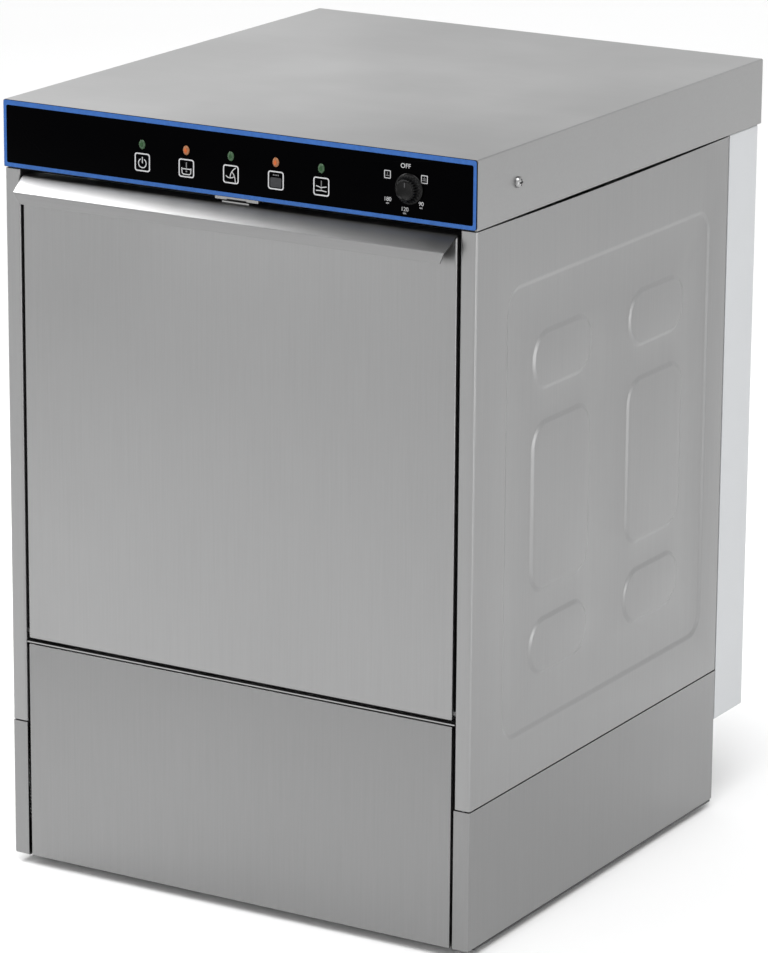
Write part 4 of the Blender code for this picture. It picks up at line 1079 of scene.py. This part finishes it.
# ================================================================ tank
# Pressed stainless tank under the chamber: straight rim, sloping floor, deep sump. The strainer
# and the standpipe sit in the sump.

TANK_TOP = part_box("wash_tank")[1].z
SUMP = (-0.090, -0.100, 0.090, 0.155)
SUMP_TOP, SUMP_FLOOR = 0.205, 0.1512
tank = bmesh.new()


def tank_loop(left, front, right_x, rear, radius, z):
    """One level of the tank's wall: a rounded rectangle at height z."""
    return [tank.verts.new((x, y, z)) for x, y in rounded((left, front), (right_x, rear), radius, 8)]


rim = (-CHAMBER_X, MOUTH_Y + SHEET, CHAMBER_X, CHAMBER_BACK)
levels = [(rim, 0.012, TANK_TOP, 0), (rim, 0.012, 0.240, 0), (rim, 0.012, 0.2372, 0.0012),
          (rim, 0.012, 0.2355, 0.0060)]
loops = [tank_loop(r[0] + k, r[1] + k, r[2] - k, r[3] - k, radius, z) for r, radius, z, k in levels]
loops += [tank_loop(SUMP[0] - k, SUMP[1] - k, SUMP[2] + k, SUMP[3] + k, 0.018 + k, z)
          for k, z in ((0.012, SUMP_TOP + 0.0022), (0.004, SUMP_TOP - 0.0005), (0.0, SUMP_TOP - 0.006),
                       (0.0, SUMP_FLOOR + 0.010))]
loops += [tank_loop(SUMP[0] + k, SUMP[1] + k, SUMP[2] - k, SUMP[3] - k, 0.018 - k * 0.5, z)
          for k, z in ((0.0012, SUMP_FLOOR + 0.0050), (0.0040, SUMP_FLOOR + 0.0014), (0.0095, SUMP_FLOOR))]
loft(tank, loops)
tank.faces.new(loops[-1])
faced(tank, "z")
finished("tank", tank, STEEL_FLAT, "chassis", "brushed_steel", "wash_tank", wall=0.0011)

# ================================================================ filter trays
# Perforated stainless trays in two halves, with a folded rim and a plain collar round the strainer
# and the overflow pipe. The holes are laid out on a square grid.


def perforated_tree():
    """Geometry Nodes: a grid of punched cells, kept only where the sheet is, welded into one sheet."""
    tree = bpy.data.node_groups.new("perforated_sheet", "GeometryNodeTree")
    face = tree.interface
    face.new_socket("Cell", in_out="INPUT", socket_type="NodeSocketObject")
    face.new_socket("Width", in_out="INPUT", socket_type="NodeSocketFloat")
    face.new_socket("Depth", in_out="INPUT", socket_type="NodeSocketFloat")
    face.new_socket("Columns", in_out="INPUT", socket_type="NodeSocketInt")
    face.new_socket("Rows", in_out="INPUT", socket_type="NodeSocketInt")
    face.new_socket("Place", in_out="INPUT", socket_type="NodeSocketVector")
    for name in ("Hole 1", "Hole 2"):
        face.new_socket(name, in_out="INPUT", socket_type="NodeSocketVector")
        face.new_socket(f"{name} Radius", in_out="INPUT", socket_type="NodeSocketFloat")
    face.new_socket("Finish", in_out="INPUT", socket_type="NodeSocketMaterial")
    face.new_socket("Geometry", in_out="OUTPUT", socket_type="NodeSocketGeometry")
    nodes, links = tree.nodes, tree.links
    given, result = nodes.new("NodeGroupInput"), nodes.new("NodeGroupOutput")
    grid = nodes.new("GeometryNodeMeshGrid")
    for theirs, mine in (("Size X", "Width"), ("Size Y", "Depth"), ("Vertices X", "Columns"),
                         ("Vertices Y", "Rows")):
        links.new(given.outputs[mine], grid.inputs[theirs])
    move = nodes.new("GeometryNodeTransform")
    links.new(grid.outputs["Mesh"], move.inputs["Geometry"])
    links.new(given.outputs["Place"], move.inputs["Translation"])
    where = nodes.new("GeometryNodeInputPosition")
    near = []
    for name in ("Hole 1", "Hole 2"):
        away = nodes.new("ShaderNodeVectorMath")
        away.operation = "DISTANCE"
        links.new(where.outputs["Position"], away.inputs[0])
        links.new(given.outputs[name], away.inputs[1])
        inside = nodes.new("FunctionNodeCompare")
        inside.operation = "LESS_THAN"
        links.new(away.outputs["Value"], inside.inputs["A"])
        links.new(given.outputs[f"{name} Radius"], inside.inputs["B"])
        near.append(inside.outputs["Result"])
    either = nodes.new("FunctionNodeBooleanMath")
    either.operation = "OR"
    links.new(near[0], either.inputs[0])
    links.new(near[1], either.inputs[1])
    drop = nodes.new("GeometryNodeDeleteGeometry")
    drop.domain = "POINT"
    links.new(move.outputs["Geometry"], drop.inputs["Geometry"])
    links.new(either.outputs["Boolean"], drop.inputs["Selection"])
    cell = nodes.new("GeometryNodeObjectInfo")
    cell.inputs["As Instance"].default_value = True
    links.new(given.outputs["Cell"], cell.inputs["Object"])
    copies = nodes.new("GeometryNodeInstanceOnPoints")
    links.new(drop.outputs["Geometry"], copies.inputs["Points"])
    links.new(cell.outputs["Geometry"], copies.inputs["Instance"])
    real = nodes.new("GeometryNodeRealizeInstances")
    links.new(copies.outputs["Instances"], real.inputs["Geometry"])
    weld = nodes.new("GeometryNodeMergeByDistance")
    weld.inputs["Distance"].default_value = 0.00002
    links.new(real.outputs["Geometry"], weld.inputs["Geometry"])
    finish = nodes.new("GeometryNodeSetMaterial")
    links.new(weld.outputs["Geometry"], finish.inputs["Geometry"])
    links.new(given.outputs["Finish"], finish.inputs["Material"])
    links.new(finish.outputs["Geometry"], result.inputs["Geometry"])
    return tree


PERFORATED = perforated_tree()


def punched_cell(width, depth, hole_r, thickness):
    """One cell of perforated sheet: a square round an eight-sided hole, open at its outer edges."""
    shape = bmesh.new()
    loops = []
    for z, reach in ((0, None), (0, hole_r), (-thickness, hole_r), (-thickness, None)):
        loop = []
        for k in range(8):
            angle = math.pi / 4 * k
            x, y = math.cos(angle), math.sin(angle)
            if reach is None:
                span = max(abs(x), abs(y))
                x, y = x / span * width / 2, y / span * depth / 2
            else:
                x, y = x * reach, y * reach
            loop.append(shape.verts.new((x, y, z)))
        loops.append(loop)
    loft(shape, loops)
    bmesh.ops.recalc_face_normals(shape, faces=shape.faces)
    return shape


TRAY_SHEET = 0.0010
ARM_Y = (MOUTH_Y + CHAMBER_BACK) / 2
OVERFLOW_Y = 0.118
CELL = 0.0076
strainer_low, strainer_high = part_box("sump_strainer")
STRAINER_R = strainer_high.x
STRAINER_HOLE_R, PIPE_HOLE_R, COLLAR_W, RIM_CORNER = STRAINER_R + 0.0015, 0.0190, 0.0120, 0.0125
for side, sign in (("left", -1), ("right", 1)):
    tray_low, tray_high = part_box(f"filter_tray_{side}")
    rim_w = 0.006
    inside_low = (tray_low.x + rim_w, tray_low.y + rim_w)
    inside_high = (tray_high.x - rim_w, tray_high.y - rim_w)
    columns = round((inside_high[0] - inside_low[0]) / CELL)
    rows = round((inside_high[1] - inside_low[1]) / CELL)
    cell_w, cell_d = (inside_high[0] - inside_low[0]) / columns, (inside_high[1] - inside_low[1]) / rows
    cell_mesh = bpy.data.meshes.new("cell")
    shape = punched_cell(cell_w, cell_d, 0.0023, TRAY_SHEET)
    shape.to_mesh(cell_mesh)
    shape.free()
    cell = bpy.data.objects.new("cell", cell_mesh)
    scene.collection.objects.link(cell)
    base = bpy.data.objects.new("base", bpy.data.meshes.new("base"))
    scene.collection.objects.link(base)
    z = tray_low.z + TRAY_SHEET
    grown(f"tray_mesh_{side}", base, PERFORATED, f"{side}_tray", "brushed_steel",
          {"Cell": cell, "Width": cell_w * (columns - 1), "Depth": cell_d * (rows - 1), "Columns": columns,
           "Rows": rows,
           "Place": ((inside_low[0] + inside_high[0]) / 2, (inside_low[1] + inside_high[1]) / 2, z),
           "Hole 1": (0, ARM_Y, z), "Hole 1 Radius": STRAINER_R + 0.0075,
           "Hole 2": (0, OVERFLOW_Y, z), "Hole 2 Radius": 0.0255, "Finish": STEEL_FLAT},
          f"filter_tray_{side}")
    bpy.data.objects.remove(cell)

    rim_shape = bmesh.new()
    band = []
    for inset, top in ((rim_w, z), (0.0018, z), (0.0008, z + 0.0004), (0.0, z + 0.0016), (0.0, tray_high.z)):
        box_points = rounded((tray_low.x + inset, tray_low.y + inset),
                             (tray_high.x - inset, tray_high.y - inset),
                             0.0015 if inset == rim_w else RIM_CORNER - inset * 0.5, 6)
        band.append([rim_shape.verts.new((x, y, top)) for x, y in box_points])
    loft(rim_shape, band)
    faced(rim_shape, "z")
    cuts = [cylinder("z", (0, ARM_Y), STRAINER_HOLE_R, z - 0.02, z + 0.03, 96),
            cylinder("z", (0, OVERFLOW_Y), PIPE_HOLE_R, z - 0.02, z + 0.03, 48)]
    finished(f"tray_rim_{side}", rim_shape, STEEL_FLAT, f"{side}_tray", "brushed_steel",
             wall=-TRAY_SHEET, cutters=cuts)
    for label, centre, inner_r in (("strainer", (0, ARM_Y), STRAINER_HOLE_R),
                                   ("overflow", (0, OVERFLOW_Y), PIPE_HOLE_R)):
        collar = bmesh.new()
        steps = 48
        loops = []
        for radius, level in ((inner_r, z + 0.0026), (inner_r, z + 0.0002), (inner_r + 0.0008, z + 0.0001),
                              (inner_r + COLLAR_W, z + 0.0001), (inner_r + COLLAR_W, z - TRAY_SHEET - 0.0001),
                              (inner_r + 0.0010, z - TRAY_SHEET - 0.0001), (inner_r + 0.0010, z + 0.0026)):
            swing = math.acos(0.0035 / radius)
            loops.append([collar.verts.new((centre[0] + sign * radius * math.cos(a),
                                            centre[1] + radius * math.sin(a), level))
                          for a in (-swing + 2 * swing * k / steps for k in range(steps + 1))])
        loft(collar, loops + [loops[0]], closed=False)
        for end in (0, -1):
            collar.faces.new([loop[end] for loop in loops])
        bmesh.ops.recalc_face_normals(collar, faces=collar.faces)
        finished(f"tray_collar_{label}_{side}", collar, STEEL_FLAT, f"{side}_tray", "brushed_steel")

# ================================================================ strainer and standpipe
# A basket of perforated steel hangs round the spindle, and a grey plastic standpipe sets the water
# level. Both lift out by hand.

basket_top, basket_bottom = strainer_high.z, strainer_low.z
wall_r, core_r = STRAINER_R - 0.004, 0.0215
WALL_LOW, WALL_HIGH = basket_bottom + 0.005, basket_top - 0.004
profile = softened([(core_r, basket_top), (core_r, basket_bottom), (wall_r, basket_bottom),
                    (wall_r, WALL_LOW), (wall_r - 0.0012, WALL_LOW),
                    (wall_r - 0.0012, basket_bottom + 0.0012), (core_r + 0.0012, basket_bottom + 0.0012),
                    (core_r + 0.0012, basket_top)], 0.0012, 2)
finished("strainer_basket", turned(profile, "z", (0, ARM_Y), 72), STEEL_INSIDE, "strainer",
         "brushed_steel", "sump_strainer")
profile = softened([(wall_r, WALL_HIGH), (wall_r, basket_top - 0.0012), (STRAINER_R, basket_top - 0.0012),
                    (STRAINER_R, basket_top), (wall_r - 0.0012, basket_top), (wall_r - 0.0012, WALL_HIGH)],
                   0.0006, 2)
finished("strainer_flange", turned(profile, "z", (0, ARM_Y), 72), STEEL_INSIDE, "strainer", "brushed_steel")
LEVELS, AROUND = 5, 54
wall = bmesh.new()
level_h = (WALL_HIGH - WALL_LOW + 0.0004) / LEVELS
cell_w = 2 * math.pi * wall_r / AROUND
cell_mesh = bpy.data.meshes.new("cell")
shape = punched_cell(cell_w, level_h, 0.0020, 0.0009)
shape.to_mesh(cell_mesh)
shape.free()
for level in range(LEVELS):
    for k in range(AROUND):
        first = len(wall.verts)
        wall.from_mesh(cell_mesh)
        wall.verts.ensure_lookup_table()
        for vert in wall.verts[first:]:
            angle, radius = (k * cell_w + vert.co.x) / wall_r, wall_r - 0.0001 + vert.co.z
            vert.co = (radius * math.cos(angle), ARM_Y + radius * math.sin(angle),
                       WALL_LOW - 0.0002 + (level + 0.5) * level_h + vert.co.y)
bmesh.ops.remove_doubles(wall, verts=wall.verts[:], dist=0.00002)
bmesh.ops.recalc_face_normals(wall, faces=wall.faces)
bpy.data.meshes.remove(cell_mesh)
finished("strainer_mesh", wall, STEEL_INSIDE, "strainer", "brushed_steel")

pipe_low, pipe_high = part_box("overflow_pipe")
profile = softened([(0.0135, pipe_low.z), (0.0170, pipe_low.z), (0.0170, pipe_low.z + 0.006),
                    (0.0150, pipe_low.z + 0.010), (0.0150, pipe_high.z - 0.006),
                    (0.0165, pipe_high.z - 0.003), (0.0150, pipe_high.z), (0.0135, pipe_high.z - 0.002),
                    (0.0135, pipe_low.z + 0.010)],
                   0.0012, 3)
finished("standpipe", turned(profile, "z", (0, OVERFLOW_Y), 48), PLASTIC_GREY, "standpipe",
         "grey_plastic", "overflow_pipe")

# ================================================================ spray arms
# Pressed stainless arms with an oval section, capped ends and a turned hub. Each carries a row of
# nozzles that face the dishes.


STEEL_ARM = brushed_steel("steel_arm", "x", 0.60, 0.33)


def spray_arm(name, node, body, tip, half_width, hub_r, up):
    """An arm as long as its CAD bar, with nozzles on its upper side where up is 1, or lower, -1."""
    low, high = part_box(node)
    middle, half_height = (low.z + high.z) / 2, (high.z - low.z) / 2 - 0.0021
    shape = bmesh.new()
    around = 28
    loops = []
    stations = [-1 + 2 * k / 48 for k in range(49)]
    for s in stations:
        x = s * tip
        end = min(1.0, (tip - abs(x)) / 0.010)
        cap = math.sqrt(max(1e-4, 1 - (1 - end) ** 2))
        width = half_width * (1 - 0.34 * abs(s)) * cap
        height = half_height * (0.35 + 0.65 * cap)
        loop = []
        for k in range(around):
            a = 2 * math.pi * k / around
            c, d = math.cos(a), math.sin(a)
            loop.append(shape.verts.new((x, ARM_Y + width * math.copysign(abs(c) ** 0.7, c),
                                         middle + height * math.copysign(abs(d) ** 0.8, d))))
        loops.append(loop)
    skinned(shape, loops)
    bore = cylinder("z", (0, ARM_Y), 0.0112, low.z - 0.01, high.z + 0.01, 48)
    finished(name, shape, STEEL_ARM, body, "brushed_steel", node, cutters=[bore])
    profile = softened([(0.0111, low.z), (hub_r * 0.92, low.z), (hub_r, low.z + 0.0015),
                        (hub_r, high.z - 0.0015), (hub_r * 0.92, high.z), (0.0111, high.z)], 0.0008, 3)
    finished(f"{name}_hub", turned(profile, "z", (0, ARM_Y), 64), PLASTIC_GREY, body, "grey_plastic")
    face = middle + up * half_height
    nozzle = turned(softened([(0, up * 0.0012), (0.0016, up * 0.0012), (0.0016, up * 0.0019),
                              (0.0034, up * 0.0016), (0.0046, 0.0), (0.0046, -up * 0.0010),
                              (0, -up * 0.0010)], 0.0004, 2), "z", (0, 0), 20)
    spots = [(sign * (0.045 + 0.0365 * k), ARM_Y + sign * 0.004 * (k % 2), face - up * 0.0004)
             for sign in (-1, 1) for k in range(5)]
    set_out(f"{name}_nozzles", nozzle, spots, STEEL_DULL, body, "brushed_steel")


spray_arm("lower_wash_arm", "wash_arm_lower", "lower_wash_spin", 0.235, 0.018, 0.024, 1)
spray_arm("lower_rinse_arm", "rinse_arm_lower", "lower_rinse_spin", 0.222, 0.009, 0.016, 1)
spray_arm("upper_wash_arm", "wash_arm_upper", "upper_wash_spin", 0.235, 0.018, 0.024, -1)
spray_arm("upper_rinse_arm", "rinse_arm_upper", "upper_rinse_spin", 0.222, 0.009, 0.016, -1)

spindle_low, spindle_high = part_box("lower_spindle")
profile = softened([(0.0085, spindle_low.z), (0.0115, spindle_low.z), (0.0115, 0.1515), (0.0200, 0.1515),
                    (0.0200, 0.1545), (0.0115, 0.1545), (0.0115, 0.2830), (0.0150, 0.2830),
                    (0.0150, 0.2855), (0.0105, 0.2855), (0.0105, 0.3185), (0.0135, 0.3185),
                    (0.0135, spindle_high.z), (0.0085, spindle_high.z)], 0.0007, 3)
finished("lower_spindle_turned", turned(profile, "z", (0, ARM_Y), 48), STEEL_DULL, "chassis",
         "plain_steel", "lower_spindle")

# ================================================================ door
# A folded outer skin, the handle along its top and an inner liner with a pressed field, all of
# stainless sheet. The hinge shafts pass through holes in the skin's sides.

skin_low, skin_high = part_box("door_outer_skin")
HINGE_HOLE_R = 0.0034
hinge_holes = cylinder("x", (HINGE_Y, HINGE_Z), HINGE_HOLE_R, skin_low.x - 0.01, skin_high.x + 0.01, 24)
finished("door_skin", bevelled_pan(skin_low, skin_high, ("+y",), 0.0020), STEEL_UPRIGHT, "door",
         "brushed_steel", "door_outer_skin", wall=SHEET, cutters=[hinge_holes])

handle_low, handle_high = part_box("door_handle")
NOSE_Z, LIP_Z, HANDLE_SHEET = 0.7522, 0.7400, 0.0015
chain = [(handle_high.y, handle_high.z), (FRONT_Y + 0.0012, handle_high.z), (handle_low.y, NOSE_Z),
         (handle_low.y + 0.0038, LIP_Z)]


def handle_half(point):
    """Half the handle's length at a height: its ends are cut slanting from the door to the lip."""
    steps = ((LIP_Z, 0.2526), (NOSE_Z, 0.2593), (handle_high.z, handle_high.x))
    for (z0, x0), (z1, x1) in zip(steps, steps[1:]):
        if point.y <= z1:
            t = max(0.0, (point.y - z0) / (z1 - z0))
            return x0 + (x1 - x0) * t
    return handle_high.x


# Painted shade: the handle's steel is darker than the door's, for its dim lip and far end.
finished("handle", folded(chain, HANDLE_SHEET, "x", -1, 1, 0.0015, handle_half),
         brushed_steel("steel_handle", "x", 0.245, 0.325), "door", "brushed_steel", "door_handle")

inner_low, inner_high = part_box("door_inner_liner")
liner = bmesh.new()


def liner_loop(inset, radius, y):
    """One step of the door liner: its outline drawn in by inset, at depth y."""
    return [liner.verts.new((x, y, z)) for x, z in
            rounded((inner_low.x + inset, inner_low.z + inset), (inner_high.x - inset, inner_high.z - inset),
                    radius, 8)]


RAISED = 0.0060
loops = [liner_loop(0, 0.004, inner_low.y), liner_loop(0, 0.004, inner_high.y - 0.0030)]
loops += [liner_loop(0.003 * (1 - math.cos(a)), 0.004, inner_high.y - 0.0030 * (1 - math.sin(a)))
          for a in (math.pi / 2 * k / 5 for k in range(1, 6))]
for k in range(9):
    t = k / 8
    rise = RAISED * t * t * (3 - 2 * t)
    loops.append(liner_loop(0.038 + 0.012 * t, 0.030 - 0.010 * t, inner_high.y - rise))
loft(liner, loops)
liner.faces.new(loops[-1])
faced(liner, "y")
finished("door_liner", liner, STEEL_INSIDE, "door", "brushed_steel", "door_inner_liner", wall=SHEET)

# ================================================================ gasket
# Black rubber bulb seal round three sides of the chamber's mouth, pushed on to its flange. One
# length runs up one side, across the top and down the other.


def rubber(name, colour):
    """Moulded rubber, slightly dusty."""
    material, tree, shader = principled(name, colour, 0.7, Specular_IOR_Level=0.3)
    bloom = mottled(tree, 90, 4)
    tree.links.new(blended(tree, ranged(tree, bloom, 0, 1), colour, [c * 1.9 for c in colour]),
                   shader.inputs["Base Color"])
    relief(tree, shader, bloom, 0.00006, 0.4)
    return material


RUBBER_BLACK = rubber("rubber_black", (0.018, 0.018, 0.018))
seal_low, seal_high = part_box("door_gasket")
seal = bmesh.new()
inner_x, inner_top = 0.2596, 0.7500
path_x, path_top = (inner_x + seal_high.x) / 2, (inner_top + seal_high.z) / 2
corners = rounded((-path_x, 0), (path_x, path_top), 0.014, 8)[9:27]
path = [(path_x, seal_low.z)] + corners + [(-path_x, seal_low.z)]
half_w, depth_mid, half_d = 0.0022, (seal_low.y + seal_high.y) / 2, (seal_high.y - seal_low.y) / 2
loops = []
for i, point in enumerate(path):
    p = Vector(point)
    tangent = (Vector(path[min(i + 1, len(path) - 1)]) - Vector(path[max(i - 1, 0)])).normalized()
    normal = Vector((-tangent.y, tangent.x))
    loops.append([])
    for k in range(16):
        a = 2 * math.pi * k / 16
        spot = p + normal * half_w * math.cos(a)
        loops[-1].append(seal.verts.new((spot.x, depth_mid + half_d * math.sin(a), spot.y)))
skinned(seal, loops)
finished("mouth_seal", seal, RUBBER_BLACK, "chassis", "seal_rubber", "door_gasket")

# ================================================================ door springs
# An extension spring each side, wound from round wire, from a peg on the hinge bracket up to the
# lever's eye.


def spring_tree():
    """Geometry Nodes: round wire wound into a straight coil along Z."""
    tree = bpy.data.node_groups.new("wound_spring", "GeometryNodeTree")
    face = tree.interface
    for name in ("Turns", "Coil Radius", "Length", "Wire Radius"):
        face.new_socket(name, in_out="INPUT", socket_type="NodeSocketFloat")
    face.new_socket("Finish", in_out="INPUT", socket_type="NodeSocketMaterial")
    face.new_socket("Geometry", in_out="OUTPUT", socket_type="NodeSocketGeometry")
    nodes, links = tree.nodes, tree.links
    given, result = nodes.new("NodeGroupInput"), nodes.new("NodeGroupOutput")
    coil = nodes.new("GeometryNodeCurveSpiral")
    coil.inputs["Resolution"].default_value = 14
    links.new(given.outputs["Turns"], coil.inputs["Rotations"])
    links.new(given.outputs["Coil Radius"], coil.inputs["Start Radius"])
    links.new(given.outputs["Coil Radius"], coil.inputs["End Radius"])
    links.new(given.outputs["Length"], coil.inputs["Height"])
    wire = nodes.new("GeometryNodeCurvePrimitiveCircle")
    wire.inputs["Resolution"].default_value = 8
    links.new(given.outputs["Wire Radius"], wire.inputs["Radius"])
    sweep = nodes.new("GeometryNodeCurveToMesh")
    sweep.inputs["Fill Caps"].default_value = True
    links.new(coil.outputs["Curve"], sweep.inputs["Curve"])
    links.new(wire.outputs["Curve"], sweep.inputs["Profile Curve"])
    real = nodes.new("GeometryNodeRealizeInstances")
    links.new(sweep.outputs["Mesh"], real.inputs["Geometry"])
    finish = nodes.new("GeometryNodeSetMaterial")
    links.new(real.outputs["Geometry"], finish.inputs["Geometry"])
    links.new(given.outputs["Finish"], finish.inputs["Material"])
    links.new(finish.outputs["Geometry"], result.inputs["Geometry"])
    return tree


WOUND = spring_tree()
STEEL_SPRING = brushed_steel("steel_spring", "z", 0.34, 0.36)
SPRING_X, PEG_Y = 0.2770, FRONT_Y + 0.0237
TURNS, COIL_R, WIRE_R = 40.0, 0.0042, 0.0009
for side, sign in (("left", -1), ("right", 1)):
    low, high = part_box(f"door_spring_{side}")
    top = Vector((sign * SPRING_X, HINGE_Y, high.z))
    bottom = Vector((sign * SPRING_X, PEG_Y, low.z))
    axis = top - bottom
    base = bpy.data.objects.new("base", bpy.data.meshes.new("base"))
    scene.collection.objects.link(base)
    obj = grown(f"spring_{side}", base, WOUND, None, "spring_steel",
                {"Turns": TURNS, "Coil Radius": COIL_R, "Length": axis.length, "Wire Radius": WIRE_R,
                 "Finish": STEEL_SPRING}, f"door_spring_{side}")
    obj.data.transform(Matrix.Translation(bottom) @ axis.to_track_quat("Z", "Y").to_matrix().to_4x4())
    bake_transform(obj)

# ================================================================ feet and fittings
# Levelling feet and a cable gland, moulded in black plastic. The door's catch and the hidden works,
# such as the pump, boiler and valve, keep their solids and get their finishes here.

for corner in ("front_left", "front_right", "rear_left", "rear_right"):
    low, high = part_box(f"foot_{corner}")
    centre = ((low.x + high.x) / 2, (low.y + high.y) / 2)
    profile = softened([(0, 0), (0.0180, 0), (0.0190, 0.0015), (0.0190, 0.0065), (0.0100, 0.0097),
                        (0.0045, 0.0097), (0.0045, high.z), (0, high.z)], 0.0008, 3)
    finished(f"levelling_{corner}", turned(profile, "z", centre, 48), PLASTIC_BLACK, "chassis",
             "black_plastic", f"foot_{corner}")

gland_low, gland_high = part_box("cable_gland")
centre = ((gland_low.x + gland_high.x) / 2, (gland_low.z + gland_high.z) / 2)
wall_y = base_high.y + 0.0003
profile = [(0.0050, gland_low.y), (0.0085, gland_low.y)]
profile += [(0.0085 - 0.0006 * (k % 2), gland_low.y + 0.001 * k) for k in range(1, 14)]
profile += [(0.0085, wall_y), (0.0122, wall_y), (0.0122, wall_y + 0.005), (0.0110, wall_y + 0.006),
            (0.0110, wall_y + 0.012), (0.0095, gland_high.y - 0.003), (0.0080, gland_high.y),
            (0.0050, gland_high.y)]
finished("cable_gland_moulded", turned(profile, "y", centre, 48), PLASTIC_BLACK, "chassis",
         "black_plastic", "cable_gland")

FINISH_OF = {
    "pump_volute": PLASTIC_BLACK, "pump_motor": PAINT_MOTOR, "selector_switch": PLASTIC_GREY,
    "relay_box": PLASTIC_GREY, "inlet_valve": PLASTIC_GREY, "drain_elbow": PLASTIC_BLACK,
    "lower_feed_pipe": RUBBER_BLACK, "rinse_hose": RUBBER_BLACK,
}
STEEL_NODES = ("door_catch", "door_strike", "hinge_bracket_left", "hinge_bracket_right", "door_hinge_left",
               "door_hinge_right", "riser_pipe", "rinse_boiler", "tank_heater", "pump_rotor")
FINISH_OF.update({node: STEEL_DULL for node in STEEL_NODES})
for node, material in FINISH_OF.items():
    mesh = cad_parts[node].data
    mesh.materials.clear()
    mesh.materials.append(material)
